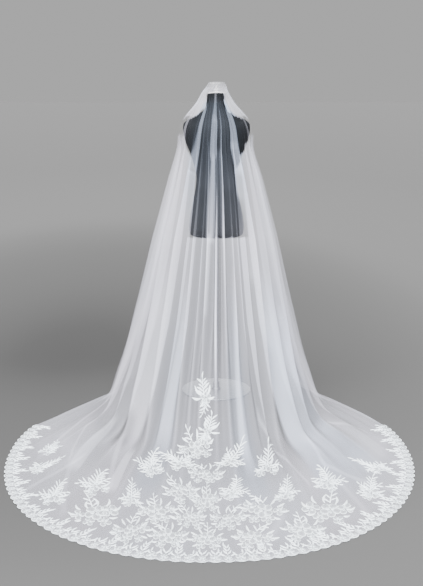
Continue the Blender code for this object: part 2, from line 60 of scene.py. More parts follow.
# Stand sizes. An outline is a list of corners, each a radius and a height.
BASE_RADIUS = 0.188
BASE_THICK = 0.008
BASE_RIM = 0.0018
COLLAR_RADIUS = 0.024
COLLAR_HEIGHT = 0.040
COLLAR_ROUND = 0.002
COLLAR_OUTLINE = ((COLLAR_RADIUS, 0.0), (COLLAR_RADIUS, 0.0040), (0.0175, 0.0100),
                  (0.0160, COLLAR_HEIGHT))
POLE_RADIUS = 0.0115
NECK_AXIS_Y = -0.0035
PLATE_RADIUS = 0.0475
PLATE_THICK = 0.006
PLATE_RIM = 0.0012
PLATE_SLOPE = math.radians(8)
POST_OUTLINE = ((0.0155, 0.0), (0.0130, 0.0080), (0.0070, 0.0120), (0.0070, 0.0160),
                (0.0130, 0.0170), (0.0130, 0.0215), (0.0066, 0.0230), (0.0062, 0.0400),
                (0.0080, 0.0440), (0.0080, 0.0500), (0.0050, 0.0530))

# Level lines of the net, from the gathered top edge to the hem. Each is a plan curve through
# the middle of the back (0, back_y), the widest point (side_x, side_y) and the free edge
# (edge_x, edge_y), with the height there. fold is the depth of a full fold, lean how far a
# fold tips sideways for its depth, sink how much of the fold lies inside the line, shift the
# line's sideways place, square the power of its round (2 is an ellipse) and cover how much of
# the light a single layer stops there.
Level = namedtuple("Level", "name back_y back_z side_x side_y side_z edge_x edge_y edge_z "
                            "fold lean sink shift square cover")
LEVELS = [
    Level("gather", -0.0136, 1.656, 0.0385, 0.000, 1.653, 0.0380, 0.008, 1.652,
          0.0011, 0.0, 0.5, 0.0, 2.0, 0.16),
    Level("comb", -0.0230, 1.640, 0.0470, 0.000, 1.636, 0.0455, 0.014, 1.634,
          0.0022, 0.0, 0.5, 0.0, 2.0, 0.20),
    Level("crown", -0.0570, 1.614, 0.0635, 0.000, 1.606, 0.0570, 0.034, 1.604,
          0.0046, 0.2, 0.5, -0.006, 2.0, 0.34),
    Level("neck", -0.0860, 1.556, 0.0945, 0.002, 1.552, 0.0840, 0.066, 1.550,
          0.0060, 0.5, 0.5, -0.006, 2.0, 0.50),
    Level("shoulder", -0.1240, 1.452, 0.1765, 0.000, 1.448, 0.1540, 0.108, 1.446,
          0.0045, 0.6, 0.0, -0.003, 2.0, 0.38),
    Level("bust", -0.1700, 1.330, 0.1900, -0.005, 1.320, 0.1500, 0.138, 1.315,
          0.0150, 0.7, 0.5, -0.005, 2.0, 0.36),
    Level("waist", -0.2320, 1.170, 0.2285, -0.015, 1.160, 0.1680, 0.142, 1.155,
          0.0280, 0.8, 0.5, -0.003, 2.0, 0.33),
    Level("hip", -0.3450, 0.880, 0.2980, -0.035, 0.870, 0.2060, 0.142, 0.865,
          0.0400, 1.1, 0.5, -0.005, 2.0, 0.31),
    Level("knee", -0.5200, 0.500, 0.3895, -0.060, 0.490, 0.2820, 0.128, 0.485,
          0.0460, 1.0, 0.5, -0.011, 2.0, 0.26),
    Level("shin", -0.7150, 0.205, 0.4795, -0.100, 0.190, 0.3800, 0.085, 0.180,
          0.0400, 0.8, 0.4, -0.016, 2.0, 0.22),
    Level("contact", -0.9350, 0.022, 0.5630, -0.230, 0.018, 0.4840, 0.005, 0.014,
          0.0200, 0.5, 0.1, -0.014, 2.0, 0.24),
    Level("spread", -1.1300, 0.003, 0.6700, -0.420, 0.003, 0.6000, -0.128, 0.003,
          0.0080, 0.2, 0.0, -0.012, 2.05, 0.29),
    Level("train", -1.3950, 0.001, 0.7870, -0.600, 0.001, 0.7260, -0.320, 0.001,
          0.0035, 0.0, 0.0, -0.016, 2.05, 0.36),
    Level("lace", -1.6750, 0.001, 0.8640, -0.760, 0.001, 0.8040, -0.462, 0.001,
          0.0020, 0.0, 0.0, -0.025, 2.08, 0.34),
    Level("hem", -1.8870, 0.001, 0.8990, -0.860, 0.001, 0.8510, -0.545, 0.001,
          0.0010, 0.0, 0.0, -0.035, 2.10, 0.34),
]

# Folds across the net. place runs from -1 at the left free edge to 1 at the right one, depth
# and lean are shares of the level's, low is the share of depth left near the floor, and line
# is how strongly the fold's crest shows as a bright line.
Fold = namedtuple("Fold", "place depth lean low line")
FOLDS = [
    Fold(-0.950, 0.80, -0.6, 0.70, 0.5),
    Fold(-0.850, 1.00, -0.7, 0.75, 0.7),
    Fold(-0.740, 0.90, -0.8, 1.00, 0.6),
    Fold(-0.630, 1.15, -0.9, 1.00, 0.8),
    Fold(-0.517, 0.85, -0.9, 1.00, 0.6),
    Fold(-0.383, 1.10, -1.1, 0.95, 0.5),
    Fold(-0.260, 1.15, -1.1, 0.90, 0.9),
    Fold(-0.224, 0.45, -0.5, 0.80, 0.5),
    Fold(-0.147, 0.80, -0.8, 0.65, 0.9),
    Fold(-0.101, 0.45, -0.4, 0.40, 0.8),
    Fold(-0.059, 0.60, -0.5, 0.25, 0.9),
    Fold(0.011, 0.90, -0.4, 0.20, 0.6),
    Fold(0.064, 0.50, 0.2, 0.25, 1.1),
    Fold(0.115, 0.70, 0.5, 0.50, 0.4),
    Fold(0.172, 0.40, 0.3, 0.70, 0.1),
    Fold(0.208, 0.75, 0.7, 0.80, 0.3),
    Fold(0.244, 1.15, 1.1, 0.90, 0.8),
    Fold(0.389, 0.80, 1.0, 1.00, 0.6),
    Fold(0.457, 1.10, 1.0, 1.00, 0.8),
    Fold(0.570, 0.90, 0.9, 1.00, 0.6),
    Fold(0.670, 1.15, 0.9, 1.00, 0.8),
    Fold(0.775, 0.85, 0.8, 1.00, 0.6),
    Fold(0.875, 1.00, 0.7, 0.75, 0.7),
    Fold(0.960, 0.75, 0.6, 0.70, 0.5),
]
# Depth of the net at a free edge, as a share of a full fold, and how far the free part bulges
FREE_EDGE_DEPTH = 0.3
FREE_EDGE_BULGE = 0.6

# Fine gathers at the comb: waves across the net, what makes them uneven (strength and waves)
# and their height by level
GATHER_WAVES = 92
GATHER_DRIFT = [(2.2, 9), (1.1, 23)]
GATHER_HEIGHTS = [("gather", 0.0008), ("comb", 0.0016), ("neck", 0.0012), ("shoulder", 0.0)]
# Soft creases below the shoulders: waves of the wide and of the narrow ones, how deep their
# troughs are and their height by level
WIDE_CREASES = 41
NARROW_CREASES = 67
CREASE_TROUGH = 0.4
CREASE_HEIGHTS = [("shoulder", 0.0), ("waist", 0.0020), ("knee", 0.0034), ("contact", 0.0026),
                  ("train", 0.0014), ("hem", 0.0004)]

# Tables of pairs from here on give a place, down the net or across it, and the value there.

# Where the net is drawn thin and clear over the form: distance down, and its left and right
# limits across the net. They are soft over CLEAR_SOFT, and CLEAR_COVER is the cover inside.
CLEAR = [
    (0.075, -0.270, 0.280), (0.115, -0.245, 0.235), (0.150, -0.215, 0.215),
    (0.180, -0.280, 0.220), (0.213, -0.385, 0.400), (0.226, -1.050, 1.050),
    (0.288, -1.050, 1.050), (0.305, -0.460, 0.500), (0.325, -0.460, 0.460),
    (0.345, -0.380, 0.420), (0.380, -0.355, 0.375), (0.430, -0.310, 0.250),
    (0.500, -0.240, 0.217), (0.570, -0.222, 0.222), (0.650, -0.239, 0.234),
    (0.770, -0.243, 0.236), (0.832, -0.242, 0.236),
]
CLEAR_SOFT = 0.004
CLEAR_COVER = [(0.10, 0.002), (0.38, 0.009), (0.50, 0.023), (0.80, 0.031)]
# Distance down to the form's lower end, and the share of the net's rows above it
FORM_END = 0.86
FORM_ROWS = 0.53

# How much the flanks of the folds thin the cover, and how soon a flank counts as steep
FLANK_THIN = [(0.0, 0.0), (0.30, 0.10), (0.50, 0.22), (1.70, 0.22), (2.10, 0.0)]
FLANK_STEEP = 2.2
# Parts where several layers hang over each other, each drawn thinner: the share of the cover
# that one keeps, and where it lies across the net, the same on both sides, and down it. They
# are the outer parts, the front parts and the sides just under the shoulders.
Thinned = namedtuple("Thinned", "keep across down")
THINNED = [
    Thinned(0.80, [(0.30, 0.0), (0.40, 1.0)],
            [(0.05, 0.3), (0.15, 1.0), (1.20, 1.0), (1.75, 0.0)]),
    Thinned(0.72, [(0.62, 0.0), (0.72, 1.0)],
            [(0.05, 0.3), (0.15, 1.0), (1.70, 1.0), (2.10, 0.0)]),
    Thinned(0.12, [(0.41, 0.0), (0.47, 1.0), (0.58, 1.0), (0.66, 0.25)],
            [(0.199, 0.0), (0.201, 1.0), (0.285, 1.0), (0.375, 0.0)]),
]
# The bright line on a fold's crest: its half width across the net, its strength, and the share
# of it that is lost where the net is clear
CREST_HALF = 0.0055
CREST_STRENGTH = [(0.0, 0.0), (0.12, 0.10), (0.85, 0.14), (1.90, 0.13), (2.30, 0.06),
                  (3.10, 0.02)]
CREST_LOSS = 0.8
# The dense lines along the free edges and the hem: half width and the cover that they add
EDGE_HALF = 0.003
EDGE_COVER = 0.25
HEM_HALF = 0.004
HEM_COVER = 0.35
# Least and most cover
COVER_LIMITS = (0.004, 0.95)

# How far a streak fades past its ends, for one that starts at this distance down or above it:
# over the form, below it and on the floor
STREAK_FADES = [(0.84, 0.04), (1.70, 0.30), (3.00, 0.08)]
# Streaks where the net bunches: place across at the upper and at the lower end, half width,
# softness, distance down of both ends and the cover that they add there.
Streak = namedtuple("Streak", "place low_place half soft start end cover low_cover")
STREAKS = [
    Streak(-0.212, -0.237, 0.021, 0.009, 0.17, 0.47, 0.17, 0.21),
    Streak(-0.465, -0.470, 0.013, 0.010, 0.22, 0.33, 0.15, 0.15),
    Streak(0.010, -0.020, 0.026, 0.010, 0.09, 0.20, 0.13, 0.15),
    Streak(-0.020, -0.025, 0.034, 0.008, 0.23, 0.40, 0.17, 0.18),
    Streak(-0.027, -0.046, 0.018, 0.008, 0.43, 0.82, 0.26, 0.20),
    Streak(-0.086, -0.082, 0.001, 0.005, 0.36, 0.82, 0.08, 0.42),
    Streak(-0.036, -0.042, 0.004, 0.008, 0.30, 0.82, 0.06, 0.32),
    Streak(0.070, 0.066, 0.002, 0.008, 0.19, 0.38, 0.08, 0.20),
    Streak(0.066, 0.058, 0.002, 0.008, 0.42, 0.82, 0.30, 0.30),
    Streak(0.228, 0.225, 0.030, 0.010, 0.19, 0.34, 0.18, 0.18),
    Streak(0.255, 0.270, 0.055, 0.014, 0.37, 0.48, 0.19, 0.21),
    Streak(0.455, 0.455, 0.006, 0.010, 0.22, 0.30, 0.10, 0.08),
    Streak(0.034, 0.034, 0.022, 0.010, 0.40, 0.80, 0.05, 0.05),
    Streak(-0.355, -0.355, 0.022, 0.020, 1.20, 1.90, 0.18, 0.22),
    Streak(-0.180, -0.195, 0.020, 0.015, 1.28, 1.80, 0.22, 0.26),
    Streak(0.124, 0.114, 0.012, 0.012, 1.26, 1.90, 0.30, 0.34),
    Streak(0.350, 0.350, 0.030, 0.020, 1.28, 1.95, 0.20, 0.24),
    Streak(-0.050, -0.054, 0.004, 0.008, 0.84, 1.20, 0.36, 0.16),
    Streak(0.011, 0.011, 0.0015, 0.004, 0.86, 1.34, 0.62, 0.75),
    Streak(0.310, 0.430, 0.055, 0.045, 1.02, 1.45, 0.15, 0.22),
    Streak(0.420, 0.350, 0.060, 0.060, 1.50, 2.20, 0.12, 0.10),
    Streak(-0.600, -0.600, 0.080, 0.060, 2.05, 2.25, 0.09, 0.09),
    Streak(-0.400, -0.395, 0.030, 0.030, 1.82, 1.98, -0.16, -0.16),
    Streak(0.061, 0.064, 0.003, 0.008, 0.86, 1.15, 0.32, 0.10),
    Streak(-0.376, -0.296, 0.004, 0.010, 1.98, 2.36, 0.16, 0.10),
    Streak(-0.475, -0.527, 0.002, 0.008, 2.24, 2.70, 0.16, 0.12),
    Streak(-0.630, -0.507, 0.002, 0.010, 2.06, 2.30, 0.13, 0.12),
    Streak(-0.750, -0.640, 0.003, 0.012, 1.92, 2.44, 0.14, 0.10),
    Streak(-0.473, -0.362, 0.004, 0.012, 2.36, 2.68, 0.11, 0.09),
    Streak(0.400, 0.364, 0.002, 0.008, 1.90, 2.16, 0.16, 0.16),
    Streak(0.580, 0.720, 0.002, 0.008, 1.90, 2.22, 0.16, 0.13),
    Streak(0.364, 0.509, 0.003, 0.010, 2.20, 2.68, 0.16, 0.12),
    Streak(0.195, 0.272, 0.001, 0.005, 1.76, 2.30, 0.18, 0.16),
    Streak(0.371, 0.379, 0.002, 0.010, 2.42, 2.72, 0.12, 0.10),
    Streak(0.163, 0.108, 0.004, 0.012, 2.56, 2.76, 0.12, 0.10),
    Streak(-0.520, -0.470, 0.022, 0.014, 1.92, 2.30, 0.16, 0.22),
    Streak(-0.307, -0.288, 0.013, 0.007, 2.05, 2.36, 0.24, 0.20),
    Streak(-0.435, -0.440, 0.020, 0.020, 1.90, 2.02, 0.08, 0.10),
    Streak(-0.620, -0.620, 0.100, 0.060, 2.25, 2.45, 0.05, 0.05),
    Streak(0.262, 0.258, 0.010, 0.012, 1.76, 1.88, 0.08, 0.08),
    Streak(0.286, 0.305, 0.012, 0.014, 1.76, 2.04, -0.10, -0.08),
    Streak(0.000, 0.000, 0.150, 0.050, 0.14, 0.56, 0.018, 0.012),
    Streak(0.500, 0.620, 0.110, 0.050, 1.98, 2.42, 0.12, 0.08),
    Streak(0.545, 0.500, 0.030, 0.030, 1.98, 2.10, 0.10, 0.05),
    Streak(0.400, 0.400, 0.280, 0.100, 2.24, 2.70, 0.04, 0.06),
]
# Painted blue cast, standing in for light scattered by the net where it hangs over the dark form:
# its strength, its half width and its softness
PAINTED_CAST_STRENGTH = [(0.09, 0.0), (0.14, 1.0), (0.45, 0.7), (0.86, 0.1)]
PAINTED_CAST_HALF = [(0.10, 0.20), (0.20, 0.30), (0.40, 0.31), (0.86, 0.20)]
PAINTED_CAST_SOFT = 0.07
# Low folds with the same painted blue cast: place across, half width and strength, then where they
# lie down the net and their softness
PAINTED_CAST_FOLDS = [(-0.200, 0.020, 0.40), (0.108, 0.020, 0.50), (0.440, 0.110, 0.45)]
PAINTED_CAST_FOLD_DEPTHS = [(0.95, 0.0), (1.40, 1.0), (2.25, 1.0), (2.60, 0.0)]
PAINTED_CAST_FOLD_SOFT = 0.05

# The two tints that drift over the net, and the colour of its painted blue cast
NET_TINTS = ((0.51, 0.60, 0.655), (0.63, 0.565, 0.665))
NET_PAINTED_CAST = (0.44, 0.53, 0.70)
# Share of the cover in the net's holes, and how much more a thread has
HOLE_COVER = 0.66
THREAD_COVER = 0.5
# Light that the stitches of the lace's filling stop, the lace's tone where it has dulled, and its
# tone in the sunken filling, drawn darker there as painted shade
STITCH_COVER = 0.10
LACE_DULLED = 0.93
LACE_FILLING_SHADE = 0.94
# Pitch of the jersey's ribs, the painted shade between the ribs, and its tone where it has faded
RIB_PITCH = 0.0024
RIB_PAINTED_SHADE = 0.80
JERSEY_FADED = 1.35
# Grain of the moulded and metal parts: waves in a metre and depth, and the mottling's tone
GRAIN_WAVES = 600.0
GRAIN_DEPTH = 0.00005
MOTTLING = 0.88

# Sections of the torso and neck: height, half width, depth to the chest and to the back, and
# the share of the neck plate's slope that the section has.
Section = namedtuple("Section", "z half front back slope")
TORSO = [
    Section(0.857, 0.1180, 0.082, 0.084, 0),
    Section(0.866, 0.1360, 0.098, 0.100, 0),
    Section(0.885, 0.1430, 0.104, 0.108, 0),
    Section(0.950, 0.1410, 0.103, 0.108, 0),
    Section(1.050, 0.1220, 0.094, 0.090, 0),
    Section(1.130, 0.1080, 0.086, 0.077, 0),
    Section(1.175, 0.1055, 0.086, 0.076, 0),
    Section(1.235, 0.1180, 0.100, 0.083, 0),
    Section(1.300, 0.1400, 0.122, 0.093, 0),
    Section(1.345, 0.1590, 0.126, 0.098, 0),
    Section(1.390, 0.1710, 0.112, 0.100, 0),
    Section(1.428, 0.1735, 0.088, 0.094, 0),
    Section(1.448, 0.1690, 0.074, 0.084, 0),
    Section(1.468, 0.1440, 0.063, 0.073, 0),
    Section(1.490, 0.1030, 0.055, 0.065, 0),
    Section(1.514, 0.0640, 0.051, 0.058, 0),
    Section(1.550, 0.0530, 0.0465, 0.0535, 0.5),
    Section(1.592, 0.0475, 0.0440, 0.0510, 1),
]
# Power of a section's round (2 is an ellipse), even rings between the sections and points in one
TORSO_SQUARENESS = 2.3
TORSO_RINGS = 70
TORSO_STEPS = 72

# Lace sprays: the flower's place on the floor plan, the heading of the main stem in degrees
# from +X, the stem's length, how wide the spray is for that length, the slope of the cloth
# there in degrees, and the kind.
Spray = namedtuple("Spray", "name x y heading length spread slope kind")
SPRAYS = [
    Spray("centre_tip", -0.058, -0.716, 100, 0.112, 0.72, 55, "spire"),
    Spray("centre_stem", -0.046, -0.835, 64, 0.090, 0.90, 30, "spire"),
    Spray("centre_crown", -0.096, -0.915, 112, 0.120, 0.75, 14, "bloom"),
    Spray("centre_wing_left", -0.158, -1.045, 106, 0.180, 0.60, 5, "sprig"),
    Spray("centre_wing_right", 0.054, -1.022, 64, 0.170, 0.62, 5, "sprig"),
    Spray("centre_flower", -0.052, -1.150, 88, 0.130, 0.66, 2, "bloom"),
    Spray("centre_low_left", -0.150, -1.315, 108, 0.165, 0.50, 0, "bloom"),
    Spray("centre_low_right", 0.056, -1.330, 66, 0.185, 0.50, 0, "sprig"),
    Spray("centre_mid", -0.044, -1.405, 92, 0.165, 0.38, 0, "bloom"),
    Spray("centre_foot_left", -0.110, -1.555, 100, 0.135, 0.52, 0, "bloom"),
    Spray("centre_foot_right", 0.036, -1.565, 80, 0.135, 0.56, 0, "bloom"),
    Spray("centre_foot", -0.040, -1.725, 90, 0.120, 0.62, 0, "bloom"),
    Spray("left_1", -0.285, -1.085, 103, 0.225, 0.46, 1, "sprig"),
    Spray("left_2", -0.345, -1.390, 98, 0.185, 0.44, 0, "sprig"),
    Spray("left_3", -0.505, -1.270, 103, 0.215, 0.50, 0, "sprig"),
    Spray("left_4", -0.776, -1.080, 58, 0.145, 0.56, 0, "sprig"),
    Spray("left_5", -0.662, -1.370, 99, 0.205, 0.46, 0, "sprig"),
    Spray("left_6", -0.478, -1.520, 104, 0.160, 0.68, 0, "bloom"),
    Spray("left_7", -0.326, -1.660, 96, 0.145, 0.56, 0, "bloom"),
    Spray("left_8", -0.772, -0.880, 68, 0.130, 0.56, 0, "sprig"),
    Spray("left_9", -0.238, -1.500, 100, 0.150, 0.56, 0, "bloom"),
    Spray("left_10", -0.186, -1.705, 96, 0.135, 0.60, 0, "bloom"),
    Spray("right_1", 0.216, -1.075, 82, 0.220, 0.44, 1, "sprig"),
    Spray("right_2", 0.178, -1.490, 82, 0.165, 0.60, 0, "bloom"),
    Spray("right_3", 0.276, -1.345, 80, 0.175, 0.46, 0, "sprig"),
    Spray("right_4", 0.460, -1.235, 78, 0.210, 0.50, 0, "sprig"),
    Spray("right_5", 0.432, -1.490, 80, 0.170, 0.66, 0, "bloom"),
    Spray("right_6", 0.698, -1.085, 122, 0.155, 0.60, 0, "sprig"),
    Spray("right_7", 0.624, -1.325, 86, 0.185, 0.54, 0, "sprig"),
    Spray("right_8", 0.316, -1.655, 92, 0.135, 0.66, 0, "bloom"),
    Spray("right_9", 0.132, -1.715, 86, 0.135, 0.66, 0, "bloom"),
]

# What a spray is drawn from, for a main stem of length 1 along X. Stems: angle in degrees,
# where they start and end, the number of leaf pairs, the leaves' length and the curl. Flowers:
# place, radius and petals. Loose leaves: angle, start, length and half width.
Twig = namedtuple("Twig", "angle start end pairs leaf curl")
Bloom = namedtuple("Bloom", "x y radius petals")
Blade = namedtuple("Blade", "angle start length half")
Drawing = namedtuple("Drawing", "twigs blooms blades")
DRAWINGS = {
    "sprig": Drawing(
        [Twig(6, 0.08, 1.02, 5, 0.36, 0.15), Twig(52, 0.14, 0.62, 2, 0.30, 0.30),
         Twig(-44, 0.14, 0.66, 3, 0.30, -0.25), Twig(-92, 0.14, 0.52, 2, 0.24, -0.30)],
        [Bloom(0.02, 0.02, 0.27, 5), Bloom(-0.20, -0.22, 0.19, 4), Bloom(-0.14, 0.28, 0.17, 4)],
        [Blade(88, 0.20, 0.42, 0.034), Blade(-118, 0.24, 0.30, 0.034), Blade(112, 0.28, 0.28, 0.034),
         Blade(26, 0.20, 0.34, 0.032)]),
    "spire": Drawing(
        [Twig(0, 0.10, 1.00, 4, 0.50, 0.10), Twig(180, 0.16, 0.94, 3, 0.34, 0.12)],
        [Bloom(0.02, 0.02, 0.28, 5), Bloom(-0.26, -0.06, 0.22, 5)],
        [Blade(52, 0.18, 0.54, 0.060), Blade(-50, 0.18, 0.60, 0.062), Blade(-88, 0.24, 0.52, 0.060),
         Blade(100, 0.22, 0.34, 0.056), Blade(-140, 0.22, 0.34, 0.056)]),
    "bloom": Drawing(
        [Twig(6, 0.40, 0.98, 2, 0.34, 0.15)],
        [Bloom(0.05, 0.00, 0.38, 5), Bloom(0.10, 0.54, 0.27, 4), Bloom(0.04, -0.56, 0.28, 4),
         Bloom(-0.38, 0.30, 0.22, 4), Bloom(-0.40, -0.26, 0.24, 4)],
        [Blade(30, 0.44, 0.44, 0.046), Blade(-28, 0.44, 0.46, 0.046), Blade(58, 0.60, 0.36, 0.046),
         Blade(-60, 0.60, 0.38, 0.046), Blade(86, 0.72, 0.34, 0.046), Blade(-88, 0.72, 0.36, 0.046),
         Blade(118, 0.60, 0.26, 0.044), Blade(-124, 0.58, 0.28, 0.044)]),
}
# Size that a spray is drawn at, as a share of its stem's length
SPRAY_GROWTH = 1.04
# How many degrees a stem or leaf turns at most from one spray to the next
SWAY = 10.0
# Lengths of one stem's leaves, as shares of the plain length
UNEVEN = (1.10, 0.82, 0.95, 1.14, 0.78, 1.0)

# Height of the stitching, and a leaf's share of it at its edge, on its ridge and in its middle,
# over the share that it has everywhere
LACE_HEIGHT = 0.0016
LEAF_LIFTS = (0.10, 1.0, 0.30)
LEAF_BASE = 0.2
LEAF_TIP = 0.09  # least width of a leaf, as a share of its greatest
# A stem's share of its reach, the rest being the leaf on its top; the angle of its leaves at the
# foot and how much less it is at the top, in degrees; and how much shorter they get
STEM_SHARE = 0.82
LEAF_ANGLE = 50
LEAF_CLOSING = 12
LEAF_TAPER = 0.35
# Half width of a spray's stems, and of their leaves for their length by the spray's kind
STEM_HALF = 0.024
LEAF_SLIM = {"sprig": 0.088, "spire": 0.110, "bloom": 0.088}
# A flower's rings of petals: where a petal starts, its length and half width as shares of the
# flower's radius, its bend, its height and how dense its filling is
Ring = namedtuple("Ring", "start length half bend height inner")
PETALS = Ring(0.20, 0.84, 0.42, 0.25, 0.0017, 0.0)
HEART = Ring(0.06, 0.46, 0.15, -0.30, 0.0028, 0.3)

# Border along the hem: its stretches, and the outer line of its scallops
BORDER_STRETCHES = 4
BORDER_END = 0.0006
SCALLOPS_PER_STRETCH = 20
SCALLOP_OUT = 0.008
SCALLOP_NOTCH = 0.004
BORDER_FRONT_DEPTH = 1.45  # how much deeper the border's drawing is where the hem runs sideways
# Depth of the border's plain band and of the wave along its inner side
BAND_DEPTH = 0.020
BAND_WAVE = 0.005
# What stands on one scallop, taken in turn along the hem: the flower's radius, the length of
# the leaves beside it, and by how tall the motif is, its reach into the train and its pairs of
# leaves
BORDER_FLOWERS = (0.020, 0.015, 0.018)
BORDER_LEAVES = (0.024, 0.030, 0.026)
MOTIF_REACH = (0.094, 0.056, 0.064)
MOTIF_PAIRS = (3, 0, 1)
# Depths from the hem line of the flower's heart, the leaves beside it, the motif's foot and its
# lowest pair of leaves
FLOWER_AT = 0.016
LEAVES_AT = 0.027
MOTIF_AT = 0.032
PAIRS_AT = 0.036
# The motif's leaves: their half width, and the length of the top one and of the lowest pair
MOTIF_LEAF_HALF = 0.0034
MOTIF_TOP = 0.022
MOTIF_LEAF = 0.027

# Floor of the stage: its reach, the darkest place of a painted pool of shade, how much slower that
# painted shade pales behind that place, and its tone by the distance from there, painted shade near
# and nearly even far off
FLOOR_RADIUS = 400.0
FLOOR_SHADE_MIDDLE = (-0.9, 0.7)
FLOOR_SHADE_BEHIND = 0.45
FLOOR_TONES_AND_SHADE = [(0.0, 0.0215), (0.3, 0.0232), (0.5, 0.0290), (1.0, 0.0380), (1.75, 0.0445),
               (2.0, 0.0480), (2.6, 0.0600), (2.95, 0.0695), (4.0, 0.0690), (7.0, 0.0638),
               (20.0, 0.0652), (80.0, 0.0657)]
FLOOR_DROP = 0.0004  # of the floor under the object

# Lights: name, spread, tilt and turn in degrees
SUNS = [("key", 70, 38, -18), ("fill", 90, 55, 168)]
# Camera: place, degrees that it looks down, and lens and sensor width in millimetres
CAMERA_PLACE = (-0.026, -4.74, 1.573)
CAMERA_DOWN = 12.21
CAMERA_LENS = 55.29
CAMERA_SENSOR = 36.0


# ---- Tables ----

def read(table, places):
    """Values at the given places, from a table of (place, value) pairs."""
    return np.interp(places, *zip(*table))


def smooth_step(value):
    """0 below 0 and 1 above 1, with a smooth rise between them."""
    share = np.clip(value, 0.0, 1.0)
    return share * share * (3 - 2 * share)


def scaled(colour, share):
    """A colour made darker or lighter."""
    return tuple(share * part for part in colour)


# ---- The net's surface ----

def level_half(level, side, count=240):
    """Half of a level line, from the middle of the back to one free edge, by its length."""
    bend = np.linspace(0.0, math.pi / 2, count)
    power = 2 / level.square
    back = np.stack([
        level.side_x * np.sin(bend) ** power,
        level.side_y - (level.side_y - level.back_y) * np.maximum(np.cos(bend), 0.0) ** power,
        level.back_z + (level.side_z - level.back_z) * np.sin(bend) ** 2,
    ], axis=1)
    t = np.linspace(0.0, 1.0, count // 2)[1:, None]
    start = np.array([level.side_x, level.side_y, level.side_z])
    end = np.array([level.edge_x, level.edge_y, level.edge_z])
    pull = np.array([level.side_x, level.side_y + FREE_EDGE_BULGE * (level.edge_y - level.side_y),
                     0.5 * (level.side_z + level.edge_z)])
    front = (1 - t) ** 2 * start + 2 * t * (1 - t) * pull + t ** 2 * end
    line = np.concatenate([back, front])
    line[:, 0] = line[:, 0] * side + level.shift
    run = np.concatenate([[0.0], np.cumsum(np.linalg.norm(np.diff(line, axis=0), axis=1))])
    return run / run[-1], line


def level_points(level, across):
    """Points of one level line at the places across the net, from -1 to 1."""
    points = np.empty((len(across), 3))
    for side in (-1, 1):
        run, line = level_half(level, side)
        chosen = across * side >= 0
        for axis in range(3):
            points[chosen, axis] = np.interp(np.abs(across[chosen]), run, line[:, axis])
    return points


def level_stations():
    """Distance of each level line from the gathered edge along the middle of the back."""
    middle = np.array([(level.back_y, level.back_z) for level in LEVELS])
    return np.concatenate([[0.0], np.cumsum(np.linalg.norm(np.diff(middle, axis=0), axis=1))])


def along(stations, values, down):
    """Smooth curve through a value at every station, read at the distances in down."""
    slopes = np.gradient(values, stations, axis=0)
    place = np.clip(np.searchsorted(stations, down, side="right") - 1, 0, len(stations) - 2)
    step = stations[place + 1] - stations[place]
    t = (down - stations[place]) / step
    shape = (-1,) + (1,) * (values.ndim - 1)
    t, step = t.reshape(shape), step.reshape(shape)
    return ((2 * t ** 3 - 3 * t ** 2 + 1) * values[place]
            + (t ** 3 - 2 * t ** 2 + t) * step * slopes[place]
            + (3 * t ** 2 - 2 * t ** 3) * values[place + 1]
            + (t ** 3 - t ** 2) * step * slopes[place + 1])


def fold_knots():
    """Ridges and the troughs between them, across the net: places and heights."""
    places, heights = [-1.0], [FREE_EDGE_DEPTH]
    for fold, following in zip(FOLDS, FOLDS[1:]):
        places += [fold.place, 0.5 * (fold.place + following.place)]
        heights += [fold.depth, 0.0]
    places += [FOLDS[-1].place, 1.0]
    heights += [FOLDS[-1].depth, FREE_EDGE_DEPTH]
    return np.array(places), np.array(heights)


def fold_height(across):
    """Height of the folds at the places across the net, as a share of a full fold."""
    places, heights = fold_knots()
    left = np.clip(np.searchsorted(places, across, side="right") - 1, 0, len(places) - 2)
    t = (across - places[left]) / (places[left + 1] - places[left])
    blend = 0.5 - 0.5 * np.cos(math.pi * t)
    return heights[left] * (1 - blend) + heights[left + 1] * blend


def by_level(column, down):
    """A column of the level table, read between the levels at the distances in down."""
    return np.interp(down, level_stations(), [getattr(level, column) for level in LEVELS])


def station_of(name):
    """Distance down of one level line."""
    return level_stations()[[level.name for level in LEVELS].index(name)]


def at_levels(table, down):
    """Values at the distances in down, from a table of (level's name, value) pairs."""
    return read([(station_of(name), value) for name, value in table], down)


def small_creases(across, down):
    """Height in metres of the fine gathers at the comb and the soft creases further down."""
    u, v = across[None, :], down[:, None]
    drift = sum(strength * np.sin(waves * u) for strength, waves in GATHER_DRIFT)
    gathers = 0.5 + 0.5 * np.sin(GATHER_WAVES * u + drift)
    # Both sets of waves wander, so that the creases don't repeat
    creases = (np.sin(WIDE_CREASES * u + 1.7 * np.sin(2.1 * v) + 0.6)
               + 0.6 * np.sin(NARROW_CREASES * u - 1.3 * v + 1.9 * np.sin(5 * u)))
    return (gathers * at_levels(GATHER_HEIGHTS, down)[:, None]
            + np.maximum(creases, -CREASE_TROUGH) * at_levels(CREASE_HEIGHTS, down)[:, None])


